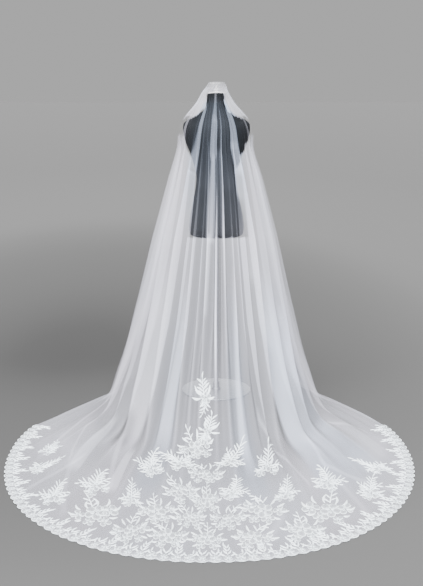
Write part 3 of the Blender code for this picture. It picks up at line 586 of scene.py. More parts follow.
def net_points(across, down):
    """The net with its folds, as rows of points from the gathered edge to the hem."""
    lines = np.stack([level_points(level, across) for level in LEVELS])
    base = along(level_stations(), lines, down)
    by_row = np.gradient(base, down, axis=0)
    by_column = np.gradient(base, across, axis=1)
    outward = np.cross(by_row, by_column)
    outward /= np.linalg.norm(outward, axis=2, keepdims=True)
    sideways = by_column / np.linalg.norm(by_column, axis=2, keepdims=True)

    size, tip, sink = (by_level(column, down)[:, None] for column in ("fold", "lean", "sink"))
    lean, low = (read([(fold.place, getattr(fold, column)) for fold in FOLDS], across)[None, :]
                 for column in ("lean", "low"))
    knee, shin = station_of("knee"), station_of("shin")
    fading = np.clip((down - knee) / (shin - knee), 0.0, 1.0)[:, None]
    height = size * (1 - fading * (1 - low)) * (fold_height(across)[None, :] - sink)
    rise = height + small_creases(across, down)
    points = base + outward * rise[..., None] + sideways * (tip * lean * height)[..., None]
    points[..., 2] = np.maximum(points[..., 2], FLOOR_SKIN)
    return points


def soft_band(across, place, half, soft):
    """1 within half of a place across the net, fading to 0 over soft on each side."""
    return smooth_step((half + soft - np.abs(across - place)) / soft)


def clear_share(across, down):
    """Where the net is drawn thin and clear over the form, as a share from 0 to 1."""
    depths, left, right = np.array(CLEAR).T
    low = np.interp(down, depths, left)[:, None]
    high = np.interp(down, depths, right)[:, None]
    inside = np.minimum(across[None, :] - low, high - across[None, :]) / CLEAR_SOFT
    ends = np.minimum(down - depths[0], depths[-1] - down)[:, None] / (0.5 * CLEAR_SOFT)
    return smooth_step(0.5 + 0.5 * np.minimum(inside, ends))


def painted_cast_share(across, down):
    """Where the net has a painted blue cast, over the dark form and in a few low folds, from 0 to 1.
    """
    u = across[None, :]
    over_form = soft_band(u, 0.0, read(PAINTED_CAST_HALF, down)[:, None], PAINTED_CAST_SOFT)
    share = read(PAINTED_CAST_STRENGTH, down)[:, None] * over_form
    low = read(PAINTED_CAST_FOLD_DEPTHS, down)[:, None]
    for place, half, strength in PAINTED_CAST_FOLDS:
        share = np.maximum(share, strength * low * soft_band(u, place, half, PAINTED_CAST_FOLD_SOFT))
    return share


def net_cover(across, down, settings):
    """How much light each point of the net stops: more on crests and where cloth gathers."""
    single = np.repeat(by_level("cover", down)[:, None], len(across), axis=1)
    slope = np.abs(np.gradient(fold_height(across), across))
    steep = np.clip(FLANK_STEEP * slope / slope.max(), 0.0, 1.0)[None, :]
    single *= 1 - read(FLANK_THIN, down)[:, None] * steep
    for part in THINNED:
        share = read(part.across, np.abs(across))[None, :] * read(part.down, down)[:, None]
        single *= 1 - (1 - part.keep) * share
    clear = clear_share(across, down)
    total = single * (1 - clear) + read(CLEAR_COVER, down)[:, None] * clear
    crest = read(CREST_STRENGTH, down)[:, None] * settings.crest * (1 - CREST_LOSS * clear)
    for fold in FOLDS:
        line = fold.line * np.exp(-((across - fold.place) / CREST_HALF) ** 2)
        total += line[None, :] * crest
    for streak in STREAKS:
        place = np.interp(down, [streak.start, streak.end], [streak.place, streak.low_place])
        fade = next(fade for deepest, fade in STREAK_FADES if streak.start <= deepest)
        ends = [streak.start - fade, streak.start, streak.end, streak.end + fade]
        strength = np.interp(down, ends, [0.0, streak.cover, streak.low_cover, 0.0])
        total += strength[:, None] * soft_band(across[None, :], place[:, None], streak.half,
                                               streak.soft)
    edge = EDGE_COVER * np.exp(-((1 - np.abs(across)) / EDGE_HALF) ** 2)
    hem = HEM_COVER * np.exp(-((down[-1] - down) / HEM_HALF) ** 2)
    total += edge[None, :] + hem[:, None]
    return np.clip(total * settings.cover, *COVER_LIMITS)


# ---- Shader building ----

def new_group(name, inputs, outputs):
    """An empty shader group with its sockets: (name, kind, default) in, (name, kind) out."""
    group = bpy.data.node_groups.new(name, "ShaderNodeTree")
    for label, kind, default in inputs:
        socket = group.interface.new_socket(label, in_out="INPUT", socket_type=kind)
        if default is not None:
            socket.default_value = default
    for label, kind in outputs:
        group.interface.new_socket(label, in_out="OUTPUT", socket_type=kind)
    return group, group.nodes.new("NodeGroupInput"), group.nodes.new("NodeGroupOutput")


def math_node(tree, operation, a, b=None, c=None):
    """A Math node with its inputs linked or set, and its output socket."""
    node = tree.nodes.new("ShaderNodeMath")
    node.operation = operation
    for socket, value in zip(node.inputs, (a, b, c)):
        if value is None:
            continue
        if isinstance(value, (int, float)):
            socket.default_value = value
        else:
            tree.links.new(value, socket)
    return node.outputs[0]


def mix_colours(tree, share, first, second):
    """Mix of two colours by a mask."""
    node = tree.nodes.new("ShaderNodeMix")
    node.data_type = "RGBA"
    for socket, value in ((node.inputs[0], share), (node.inputs[6], first),
                          (node.inputs[7], second)):
        if isinstance(value, bpy.types.NodeSocket):
            tree.links.new(value, socket)
        elif isinstance(value, (int, float)):
            socket.default_value = value
        else:
            socket.default_value = (*value, 1.0)
    return node.outputs[2]


def noise(tree, vector, scale, detail=2.0, stretch=(1.0, 1.0, 1.0)):
    """Noise value of a vector, stretched along its axes."""
    mapping = tree.nodes.new("ShaderNodeMapping")
    mapping.inputs["Scale"].default_value = stretch
    tree.links.new(vector, mapping.inputs["Vector"])
    node = tree.nodes.new("ShaderNodeTexNoise")
    node.inputs["Scale"].default_value = scale
    node.inputs["Detail"].default_value = detail
    tree.links.new(mapping.outputs[0], node.inputs["Vector"])
    return node.outputs[0]


def thread_group():
    """Shared group: fine crossed threads from a vector in metres."""
    group, given, made = new_group(
        "Threads",
        [("Vector", "NodeSocketVector", None), ("Pitch", "NodeSocketFloat", 0.0015)],
        [("Threads", "NodeSocketFloat")])
    waves = []
    for turn in (30, 90, 150):
        spin = group.nodes.new("ShaderNodeMapping")
        spin.inputs["Rotation"].default_value = (0, 0, math.radians(turn))
        group.links.new(given.outputs["Vector"], spin.inputs["Vector"])
        split = group.nodes.new("ShaderNodeSeparateXYZ")
        group.links.new(spin.outputs[0], split.inputs[0])
        per = math_node(group, "DIVIDE", split.outputs[0], given.outputs["Pitch"])
        wave = math_node(group, "SINE", math_node(group, "MULTIPLY", per, 2 * math.pi))
        waves.append(wave)
    top = math_node(group, "MAXIMUM", math_node(group, "MAXIMUM", waves[0], waves[1]), waves[2])
    group.links.new(math_node(group, "MULTIPLY_ADD", top, 0.5, 0.5), made.inputs["Threads"])
    return group


def shared_group(name, maker):
    """The shader group of that name, made on first use."""
    return bpy.data.node_groups.get(name) or maker()


def place_group(tree, name, maker, **values):
    """Put a shared group in a material, with its inputs linked or set."""
    node = tree.nodes.new("ShaderNodeGroup")
    node.node_tree = shared_group(name, maker)
    for label, value in values.items():
        socket = node.inputs[label]
        if isinstance(value, bpy.types.NodeSocket):
            tree.links.new(value, socket)
        else:
            socket.default_value = value
    return node


def new_material(name, roughness, **constants):
    """A material with its shader, constants set on the shader's own sockets."""
    made = bpy.data.materials.new(name)
    made.use_nodes = True
    shader = made.node_tree.nodes["Principled BSDF"]
    shader.inputs["Roughness"].default_value = roughness
    for label, value in constants.items():
        shader.inputs[label.replace("_", " ")].default_value = value
    return made, made.node_tree, shader


def add_bump(tree, shader, height, distance, strength):
    """Relief from a height, distance metres deep at most."""
    bump = tree.nodes.new("ShaderNodeBump")
    bump.inputs["Distance"].default_value = distance
    bump.inputs["Strength"].default_value = strength
    tree.links.new(height, bump.inputs["Height"])
    tree.links.new(bump.outputs[0], shader.inputs["Normal"])


def attribute(tree, name):
    """A node that reads one of the piece's own attributes."""
    node = tree.nodes.new("ShaderNodeAttribute")
    node.attribute_name = name
    return node


def net_finish(settings):
    """Soft see-through net: cover from the piece, mesh of threads, faint blue and pink tints and a
    painted blue cast over the dark form.
    """
    made, tree, shader = new_material("Net", 0.55, Sheen_Weight=0.2, Sheen_Roughness=0.4)
    uv = tree.nodes.new("ShaderNodeUVMap")
    uv.uv_map = "Cut"
    threads = place_group(tree, "Threads", thread_group, Vector=uv.outputs[0],
                          Pitch=settings.mesh_size)
    cover = attribute(tree, "cover").outputs["Fac"]
    swing = math_node(tree, "MULTIPLY_ADD", threads.outputs[0], THREAD_COVER, HOLE_COVER)
    tree.links.new(math_node(tree, "MULTIPLY", cover, swing), shader.inputs["Alpha"])
    drift = noise(tree, uv.outputs[0], 2.6, 1.0, (1.0, 0.4, 1.0))
    tint = mix_colours(tree, drift, *NET_TINTS)
    drifting = mix_colours(tree, settings.tint, tuple(settings.colour), tint)
    # Painted blue cast: the net's colour turns blue where it hangs over the dark form and in a few
    # low folds
    cast = attribute(tree, "cool").outputs["Fac"]
    cloth = mix_colours(tree, cast, drifting, NET_PAINTED_CAST)
    tree.links.new(cloth, shader.inputs["Base Color"])
    add_bump(tree, shader, threads.outputs[0], 0.0002, 0.4)
    return made


def lace_finish(settings):
    """Corded white lace: solid cords, finer stitched filling inside the leaves, painted a little
    darker as shade.
    """
    made, tree, shader = new_material("Lace", 0.6, Sheen_Weight=0.15, Sheen_Roughness=0.5)
    stitch = attribute(tree, "stitch").outputs["Vector"]
    cord = attribute(tree, "cord").outputs["Fac"]
    threads = place_group(tree, "Threads", thread_group, Vector=stitch,
                          Pitch=settings.stitch_size)
    filling = math_node(tree, "MULTIPLY_ADD", threads.outputs[0], STITCH_COVER,
                        settings.filling)
    dense = math_node(tree, "POWER", cord, 1.1)
    alpha = math_node(tree, "ADD", filling, dense)
    tree.links.new(math_node(tree, "MINIMUM", alpha, 1.0), shader.inputs["Alpha"])
    coords = tree.nodes.new("ShaderNodeTexCoord").outputs["Object"]
    wear = noise(tree, coords, 9.0, 3.0)
    colour = tuple(settings.colour)
    white = mix_colours(tree, wear, colour, scaled(colour, LACE_DULLED))
    # Painted shade: the sunken filling is drawn darker than the raised cords
    shade = mix_colours(tree, cord, scaled(colour, LACE_FILLING_SHADE), white)
    tree.links.new(shade, shader.inputs["Base Color"])
    add_bump(tree, shader, threads.outputs[0], 0.0004, 0.6)
    return made


def plain_finish(name, colour, roughness, **constants):
    """Moulded or metal finish with a fine grain, faint mottling and uneven gloss."""
    made, tree, shader = new_material(name, roughness, **constants)
    coords = tree.nodes.new("ShaderNodeTexCoord").outputs["Object"]
    broad = noise(tree, coords, 14.0, 3.0)
    fine = noise(tree, coords, GRAIN_WAVES, 2.0)
    tone = mix_colours(tree, broad, tuple(colour), scaled(colour, MOTTLING))
    tree.links.new(tone, shader.inputs["Base Color"])
    gloss = math_node(tree, "MULTIPLY_ADD", broad, 0.16, roughness - 0.06)
    tree.links.new(gloss, shader.inputs["Roughness"])
    add_bump(tree, shader, fine, GRAIN_DEPTH, 0.5)
    return made


def jersey_finish(colour):
    """Dark knitted jersey cover of the form, its ribs running down the body, with painted shade
    between them.
    """
    made, tree, shader = new_material("Jersey", 0.85, Sheen_Weight=0.015, Sheen_Roughness=0.4,
                                      Specular_IOR_Level=0.08)
    coords = tree.nodes.new("ShaderNodeTexCoord").outputs["Object"]
    threads = place_group(tree, "Threads", thread_group, Vector=coords, Pitch=RIB_PITCH)
    broad = noise(tree, coords, 5.0, 3.0)
    tone = mix_colours(tree, broad, tuple(colour), scaled(colour, JERSEY_FADED))
    # Painted shade: the jersey is drawn darker in the grooves between the ribs
    knit = mix_colours(tree, threads.outputs[0], scaled(colour, RIB_PAINTED_SHADE), tone)
    tree.links.new(knit, shader.inputs["Base Color"])
    add_bump(tree, shader, threads.outputs[0], 0.0003, 0.5)
    return made


# ---- Pieces ----

def add_piece(name, bm, finish, replaced):
    """Turn a finished bmesh into a piece that rides on its body, for the node replaced."""
    bm.normal_update()
    mesh = bpy.data.meshes.new(name)
    bm.to_mesh(mesh)
    bm.free()
    mesh.materials.append(finish)
    mesh.shade_smooth()
    mesh.set_sharp_from_angle(angle=SHARP_ANGLE)
    piece = bpy.data.objects.new(name, mesh)
    bpy.context.scene.collection.objects.link(piece)
    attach(piece, BODY)
    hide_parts(replaced)
    return piece


def close_up(bm):
    """Close the open ends of a solid and turn its faces outwards."""
    bmesh.ops.holes_fill(bm, edges=[edge for edge in bm.edges if edge.is_boundary], sides=0)
    bmesh.ops.recalc_face_normals(bm, faces=bm.faces[:])


def turned(profile, steps):
    """A closed solid turned round Z from a radius and height outline."""
    bm = bmesh.new()
    chain = [bm.verts.new((radius, 0, z)) for radius, z in profile]
    edges = [bm.edges.new(pair) for pair in zip(chain, chain[1:])]
    bmesh.ops.spin(bm, geom=chain + edges, cent=(0, 0, 0), axis=(0, 0, 1),
                   angle=2 * math.pi, steps=steps, use_merge=True)
    bmesh.ops.remove_doubles(bm, verts=bm.verts[:], dist=1e-6)
    close_up(bm)
    return bm


def shifted(bm, y, z):
    """The same solid, moved back and up."""
    bmesh.ops.translate(bm, verts=bm.verts[:], vec=(0, y, z))
    return bm


def disc(radius, thick, rim):
    """Radius and height outline of a flat disc with rounded rims."""
    outline = []
    for height, turns in ((rim, (-90, -60, -30, 0)), (thick - rim, (0, 30, 60, 90))):
        for turn in turns:
            angle = math.radians(turn)
            outline.append((radius - rim + rim * math.cos(angle), height + rim * math.sin(angle)))
    return outline


def rounded(corners, radius=0.001, steps=3):
    """A radius and height outline with its inner corners rounded."""
    outline = [corners[0]]
    for before, corner, after in zip(corners, corners[1:], corners[2:]):
        here = Vector(corner)
        back, on = Vector(before) - here, Vector(after) - here
        reach = min(radius, 0.4 * back.length, 0.4 * on.length)
        start, end = here + back.normalized() * reach, here + on.normalized() * reach
        for step in range(steps + 1):
            t = step / steps
            outline.append(tuple((1 - t) ** 2 * start + 2 * t * (1 - t) * here + t ** 2 * end))
    outline.append(corners[-1])
    return outline


# ---- Lace drawing: flat shapes in metres, with the height of the stitching as Z ----

def grid_shape(bm, long_steps, wide_steps, shape):
    """A small grid whose points shape(along 0..1, side -1..1) puts in place."""
    cord = bm.verts.layers.float["cord"]
    stitch = bm.verts.layers.float_vector["stitch"]
    made = bmesh.ops.create_grid(bm, x_segments=long_steps, y_segments=wide_steps, size=1.0)
    for vertex in made["verts"]:
        place, rim, thread = shape(0.5 + 0.5 * vertex.co.x, vertex.co.y)
        vertex.co = place
        vertex[cord] = rim
        vertex[stitch] = thread


def leaf(bm, foot, angle, length, half, bend=0.0, belly=0.42, height=LACE_HEIGHT, blunt=0.0,
         inner=0.72):
    """A slender leaf or petal, widest at belly, with a raised corded rim and a sunken filling
    whose density is inner."""
    def shape(t, side):
        # The grid's lines lie at side 0, on the ridge halfway out and at the edge
        edge, ridge = abs(side) > 0.9, abs(side) > 0.3
        wide = t / belly if t < belly else (1 - t) / (1 - belly)
        wide = math.sin(0.5 * math.pi * min(max(wide, 0.0), 1.0)) ** (0.9 - 0.5 * blunt)
        out = math.copysign(abs(side) ** 0.5, side) * half * max(wide, LEAF_TIP)
        turn = angle + bend * (t - 0.3)
        x = foot[0] + length * t * math.cos(turn) - out * math.sin(turn)
        y = foot[1] + length * t * math.sin(turn) + out * math.cos(turn)
        lift = LEAF_LIFTS[0 if edge else 1 if ridge else 2] * min(1.0, 6 * t, 6 * (1 - t))
        rim = 1.0 if edge or t < 0.1 or t > 0.9 else inner
        if ridge:
            rim = max(rim, 0.24 + 0.70 * inner)
        return (x, y, height * (LEAF_BASE + lift)), rim, (length * t + abs(out), out, 0.0)
    grid_shape(bm, 6, 4, shape)


def stem(bm, path, half):
    """A raised cord along a flat path."""
    points = [Vector(point) for point in path]

    def shape(t, side):
        place = t * (len(points) - 1)
        index = min(int(place), len(points) - 2)
        here = points[index].lerp(points[index + 1], place - index)
        run = (points[index + 1] - points[index]).normalized()
        out = side * half * (1.0 - 0.4 * t)
        rise = LACE_HEIGHT * (0.3 + 0.7 * (1 - side * side))
        return (here.x - run.y * out, here.y + run.x * out, rise), 1.0, (here.length, out, 0.0)
    grid_shape(bm, 2 * (len(points) - 1), 2, shape)


def flower(bm, centre, radius, petals, turn):
    """A ring of round petals and a smaller, raised ring over it as the heart."""
    for ring, count, offset in ((PETALS, petals, 0.0), (HEART, max(petals - 2, 3), 0.5)):
        for index in range(count):
            angle = turn + 2 * math.pi * (index + offset) / count
            foot = (centre[0] + ring.start * radius * math.cos(angle),
                    centre[1] + ring.start * radius * math.sin(angle))
            leaf(bm, foot, angle, ring.length * radius, ring.half * radius, ring.bend, 0.60,
                 ring.height, 0.9, ring.inner)


def start_lace():
    """An empty drawing, with what the lace's finish reads: its cords and its stitches' place."""
    bm = bmesh.new()
    bm.verts.layers.float.new("cord")
    bm.verts.layers.float_vector.new("stitch")
    return bm


def leafy_stem(bm, twig, slim):
    """A curved stem with slender leaves along it, slim times as wide as long, and one on top."""
    steps = 6
    path = []
    for step in range(steps + 1):
        t = step / steps
        angle = math.radians(twig.angle) + twig.curl * (t - 0.2)
        out = twig.start + (twig.end - twig.start) * STEM_SHARE * t
        path.append(Vector((out * math.cos(angle), out * math.sin(angle))))
    runs = [after - before for before, after in zip(path, path[1:])]
    headings = [math.atan2(run.y, run.x) for run in runs]
    stem(bm, path, STEM_HALF)
    for pair in range(twig.pairs):
        for side in (-1, 1):
            t = 0.02 + 0.88 * (pair + (0.5 if side > 0 else 0.0)) / twig.pairs
            place = min(t, 0.99) * steps
            index = min(int(place), steps - 1)
            base = path[index].lerp(path[index + 1], place - index)
            uneven = UNEVEN[(2 * pair + (side > 0)) % len(UNEVEN)]
            size = twig.leaf * (1.0 - LEAF_TAPER * t) * uneven
            angle = headings[index] + side * math.radians(LEAF_ANGLE - LEAF_CLOSING * t)
            leaf(bm, base, angle, size, slim * size, side * 0.12, 0.52)
    leaf(bm, path[-1], headings[-1], 0.66 * twig.leaf, 0.075 * twig.leaf, 0.3, 0.50)


def draw_spray(kind, length, flip, turn):
    """A whole spray round its flower, the main stem along +X; flip mirrors it and turn varies
    its stems, leaves and flowers a little."""
    bm = start_lace()
    drawing = DRAWINGS[kind]
    for index, twig in enumerate(drawing.twigs):
        sway = math.sin(7.0 * turn + 2.0 * index)
        varied = twig._replace(angle=twig.angle + SWAY * sway, end=twig.end * (1 - 0.06 * sway),
                               curl=twig.curl + 0.25 * sway)
        leafy_stem(bm, varied, LEAF_SLIM[kind])
    for index, blade in enumerate(drawing.blades):
        sway = math.sin(9.0 * turn + 3.0 * index)
        angle = math.radians(blade.angle + 0.5 * SWAY * sway)
        start = 0.88 * blade.start
        foot = (start * math.cos(angle), start * math.sin(angle))
        leaf(bm, foot, angle, blade.length * (1 + 0.14 * sway), blade.half,
             -0.45 * math.copysign(1, blade.angle) + 0.3 * sway, 0.52)
    for index, bloom in enumerate(drawing.blooms):
        sway = 6.0 * turn + 2.0 * index
        centre = (bloom.x + 0.045 * math.sin(sway), bloom.y + 0.045 * math.cos(sway))
        flower(bm, centre, bloom.radius * (1 + 0.12 * math.sin(2 * sway)), bloom.petals,
               turn + 0.9 * index)
    size = length * SPRAY_GROWTH
    for vertex in bm.verts:
        vertex.co.x *= size
        vertex.co.y *= size * flip
    return bm


def draw_border(bm, length, stretch):
    """One stretch of the border, X along the hem and Y into the train."""
    pitch = length / SCALLOPS_PER_STRETCH
    for index in range(SCALLOPS_PER_STRETCH):
        left = index * pitch
        middle = left + 0.5 * pitch
        tall = (index + stretch) % 3

        def scallop(t, side, left=left):
            bow = math.sin(math.pi * t)
            outer = SCALLOP_NOTCH - (SCALLOP_OUT + SCALLOP_NOTCH) * bow ** 0.7
            inner = BAND_DEPTH + BAND_WAVE * math.sin(4 * math.pi * t)
            depth = outer + (inner - outer) * (0.5 + 0.5 * side)
            rise = LACE_HEIGHT if side < -0.2 else 0.0005
            rim = 1.0 if side < -0.8 else 0.0
            return (left + t * pitch, depth, rise), rim, (t * pitch, depth, 0.0)
        grid_shape(bm, 10, 4, scallop)
        flower(bm, (middle, FLOWER_AT), BORDER_FLOWERS[index % 3], 5, 0.7 * index)
        for side in (-1, 1):
            size = BORDER_LEAVES[(index + (side > 0)) % 3]
            angle = math.radians(90 - side * (68 - 9 * tall))
            foot = (middle + side * 0.010, LEAVES_AT)
            leaf(bm, foot, angle, size, 0.12 * size, side * 0.5)
        climb = (MOTIF_REACH[tall] - 0.052) / 3
        path = [(middle + 0.004 * step * (-1) ** index, MOTIF_AT + climb * step)
                for step in range(4)]
        stem(bm, path, 0.0012)
        for pair in range(MOTIF_PAIRS[tall]):
            for side in (-1, 1):
                angle = math.radians(90 - side * (50 - 5 * pair))
                leaf(bm, (middle, PAIRS_AT + 0.015 * pair), angle, MOTIF_LEAF - 0.003 * pair,
                     MOTIF_LEAF_HALF, side * 0.3)
        leaf(bm, path[-1], math.radians(90), MOTIF_TOP, MOTIF_LEAF_HALF)


def lay_down(bm, tree, placed, drop, reach=0.4):
    """Lay drawn lace on the net: placed(x, y) is the point above it, and Z its stitching."""
    lift = -Vector(drop).normalized()
    for vertex in bm.verts:
        x, y, rise = vertex.co
        above = placed(x, y)
        hit = tree.ray_cast(above + lift * reach, -lift)[0]
        if hit is None:
            near = tree.find_nearest(above)[0]
            hit = above + lift * (near - above).dot(lift)
        vertex.co = hit + lift * (SEAM_GAP + rise)


def turn_up(bm, direction):
    """Turn the faces of a single surface so that they look along direction."""
    bm.normal_update()
    toward = Vector(direction)
    wrong = [face for face in bm.faces if face.normal.dot(toward) < 0]
    bmesh.ops.reverse_faces(bm, faces=wrong)


def net_tree():
    """Search tree of the laid net."""
    net = bpy.data.objects.get("veil_tulle")
    if net is None:
        raise RuntimeError("lay the net before its lace")
    bpy.context.view_layer.update()
    return BVHTree.FromObject(net, bpy.context.evaluated_depsgraph_get())


def hem_frame(across):
    """Points of the hem on the floor plan and the direction from each into the train."""
    hem = level_points(LEVELS[-1], across)[:, :2]
    run = np.gradient(hem, across, axis=0)
    run /= np.linalg.norm(run, axis=1, keepdims=True)
    inward = np.stack([-run[:, 1], run[:, 0]], axis=1)
    return hem, inward


# ---- Settings ----

class NetSettings(bpy.types.PropertyGroup):
    columns: IntProperty(name="Columns", description="Steps across the net", default=440, min=80)
    rows: IntProperty(name="Rows", description="Steps down the net", default=222, min=40)
    colour: FloatVectorProperty(name="Colour", description="Colour of the net's thread",
                                subtype="COLOR", size=3, min=0.0, max=1.0,
                                default=(0.58, 0.575, 0.67))
    tint: FloatProperty(name="Tint", description="Share of the faint blue and pink drift",
                        subtype="FACTOR", default=0.45, min=0.0, max=1.0)
    cover: FloatProperty(name="Cover", description="How much of the tables' cover is used",
                         subtype="FACTOR", default=0.80, min=0.0, max=2.0)
    crest: FloatProperty(name="Crests", description="Strength of the bright fold crests",
                         subtype="FACTOR", default=1.0, min=0.0, max=2.0)
    mesh_size: FloatProperty(name="Mesh size", description="Width of one hole of the net",
                             unit="LENGTH", default=0.0016, min=0.0005)


class LaceSettings(bpy.types.PropertyGroup):
    colour: FloatVectorProperty(name="Colour", description="Colour of the lace thread",
                                subtype="COLOR", size=3, min=0.0, max=1.0,
                                default=(0.87, 0.95, 1.0))
    filling: FloatProperty(name="Filling", description="Light stopped inside the leaves",
                           subtype="FACTOR", default=0.04, min=0.0, max=1.0)
    stitch_size: FloatProperty(name="Stitch size", description="Pitch of the filling stitches",
                               unit="LENGTH", default=0.0012, min=0.0003)


class StandSettings(bpy.types.PropertyGroup):
    jersey: FloatVectorProperty(name="Cover", description="Colour of the form's jersey",
                                subtype="COLOR", size=3, min=0.0, max=1.0,
                                default=(0.0065, 0.0076, 0.0092))
    white: FloatVectorProperty(name="Cap", description="Colour of the neck plate and post",
                               subtype="COLOR", size=3, min=0.0, max=1.0,
                               default=(0.85, 0.85, 0.84))
    metal: FloatVectorProperty(name="Metal", description="Colour of the pole and the base",
                               subtype="COLOR", size=3, min=0.0, max=1.0,
                               default=(0.22, 0.24, 0.26))
    round_steps: IntProperty(name="Round steps", description="Steps round each turned part",
                             default=96, min=16)


class StageSettings(bpy.types.PropertyGroup):
    floor: FloatVectorProperty(name="Floor", description="Tint of the floor", subtype="COLOR",
                               size=3, min=0.0, max=1.0, default=(1.0, 1.0, 1.0))
    sky: FloatProperty(name="Room light", description="Light that comes from all round",
                       default=0.47, min=0.0)
    key: FloatProperty(name="Key light", description="Strength of the high key light",
                       default=18.0, min=0.0)
    fill: FloatProperty(name="Fill light", description="Strength of the light from the front",
                        default=1.6, min=0.0)


# ---- Operators ----

class VEIL_OT_net(bpy.types.Operator):
    """Lay the gathered net over the form and out over the floor"""
    bl_idname = "veil.net"
    bl_label = "Lay the net"

    def execute(self, context):
        settings = context.scene.veil_net
        across = np.linspace(-1.0, 1.0, settings.columns + 1)
        down = np.interp(np.linspace(0.0, 1.0, settings.rows + 1), [0.0, FORM_ROWS, 1.0],
                         [0.0, FORM_END, level_stations()[-1]])
        points = net_points(across, down)
        cover = net_cover(across, down, settings)
        steps = np.linalg.norm(np.diff(points, axis=1), axis=2)
        run = np.concatenate([np.zeros((len(down), 1)), np.cumsum(steps, axis=1)], axis=1)
        run -= run[:, [len(across) // 2]]
        bm = bmesh.new()
        bmesh.ops.create_grid(bm, x_segments=settings.columns, y_segments=settings.rows,
                              size=1.0)
        # The painted blue cast over the dark form and in low folds, kept on the net's points for its
        # finish
        cool = painted_cast_share(across, down)
        layer = bm.verts.layers.float.new("cover")
        cast = bm.verts.layers.float.new("cool")
        cut = bm.loops.layers.uv.new("Cut")
        bm.verts.ensure_lookup_table()
        for index, vertex in enumerate(bm.verts):
            row, column = divmod(index, len(across))
            vertex.co = points[row, column]
            vertex[layer] = cover[row, column]
            vertex[cast] = cool[row, column]
        for face in bm.faces:
            for loop in face.loops:
                row, column = divmod(loop.vert.index, len(across))
                loop[cut].uv = (run[row, column], down[row])
        bm.normal_update()
        if sum(face.normal.z for face in bm.faces) < 0:
            bmesh.ops.reverse_faces(bm, faces=bm.faces[:])
        piece = add_piece("veil_tulle", bm, net_finish(settings), "veil_net")
        return {"FINISHED"}


class VEIL_OT_sprays(bpy.types.Operator):
    """Sew the lace sprays on the train"""
    bl_idname = "veil.sprays"
    bl_label = "Sew the sprays"

    def execute(self, context):
        tree = net_tree()
        finish = lace_finish(context.scene.veil_lace)
        for index, spray in enumerate(SPRAYS):
            slope, turn = math.radians(spray.slope), math.radians(spray.heading)
            up_cloth = Vector((0.0, math.cos(slope), math.sin(slope)))
            foot = tree.ray_cast(Vector((spray.x, spray.y, 1.0)), Vector((0, 0, -1)))[0]

            def placed(x, y, foot=foot, turn=turn, up_cloth=up_cloth, spread=spray.spread):
                right = x * math.cos(turn) - spread * y * math.sin(turn)
                up = x * math.sin(turn) + spread * y * math.cos(turn)
                return foot + Vector((right, 0, 0)) + up_cloth * up

            bm = draw_spray(spray.kind, spray.length, 1 if index % 2 else -1, 0.4 * index)
            drop = (0.0, math.sin(slope), -math.cos(slope))
            lay_down(bm, tree, placed, drop)
            turn_up(bm, -Vector(drop))
            add_piece("spray_" + spray.name, bm, finish, "lace_" + spray.name)
        return {"FINISHED"}


class VEIL_OT_border(bpy.types.Operator):
    """Sew the scalloped lace border along the hem"""
    bl_idname = "veil.border"
    bl_label = "Sew the border"

    def execute(self, context):
        tree = net_tree()
        finish = bpy.data.materials.get("Lace") or lace_finish(context.scene.veil_lace)
        for stretch in range(BORDER_STRETCHES):
            bm = start_lace()
            span = 2.0 / BORDER_STRETCHES
            begin = -1.0 + stretch * span + BORDER_END
            reach = span - 2 * BORDER_END
            across = np.linspace(begin, begin + reach, 801)
            hem, inward = hem_frame(across)
            steps = np.linalg.norm(np.diff(hem, axis=0), axis=1)
            run = np.concatenate([[0.0], np.cumsum(steps)])

            def placed(x, y, run=run, hem=hem, inward=inward):
                spot = [np.interp(x, run, column) for column in (*hem.T, *inward.T)]
                deeper = 1 + (BORDER_FRONT_DEPTH - 1) * max(spot[3], 0.0) ** 2
                depth = y * deeper if y > 0 else y
                return Vector((spot[0] + spot[2] * depth, spot[1] + spot[3] * depth, 0.0))

            draw_border(bm, run[-1], stretch)
            lay_down(bm, tree, placed, (0, 0, -1), 0.2)
            turn_up(bm, (0, 0, 1))
            add_piece(f"hem_lace_{stretch + 1}", bm, finish, f"border_{stretch + 1}")
        return {"FINISHED"}


class VEIL_OT_torso(bpy.types.Operator):
    """Build the smooth limbless torso"""
    bl_idname = "veil.torso"
    bl_label = "Build the torso"

    def execute(self, context):
        settings = context.scene.veil_stand
        heights = np.array([section.z for section in TORSO])
        table = np.array([(s.half, s.front, s.back, s.slope) for s in TORSO])
        even = np.linspace(heights[0], heights[-1], TORSO_RINGS)
        fine = np.unique(np.concatenate([heights, even]))
        sizes = along(heights, table, fine)
        power = 2 / TORSO_SQUARENESS
        bm = bmesh.new()
        rings = []
        for z, (half, front, back, slope) in zip(fine, sizes):
            ring = bmesh.ops.create_circle(bm, segments=TORSO_STEPS, radius=1.0)["verts"]
            for vertex in ring:
                across, depth = vertex.co.x, vertex.co.y
                y = (front if depth > 0 else back) * math.copysign(abs(depth) ** power, depth)
                x = half * math.copysign(abs(across) ** power, across)
                vertex.co = (x, y, z - slope * math.tan(PLATE_SLOPE) * y)
            rings.append(ring)
        for lower, upper in zip(rings, rings[1:]):
            edges = {edge for ring in (lower, upper) for vertex in ring
                     for edge in vertex.link_edges
                     if edge.other_vert(vertex) in ring}
            bmesh.ops.bridge_loops(bm, edges=list(edges))
        close_up(bm)
        add_piece("form_torso", bm, jersey_finish(settings.jersey), "torso")
        return {"FINISHED"}


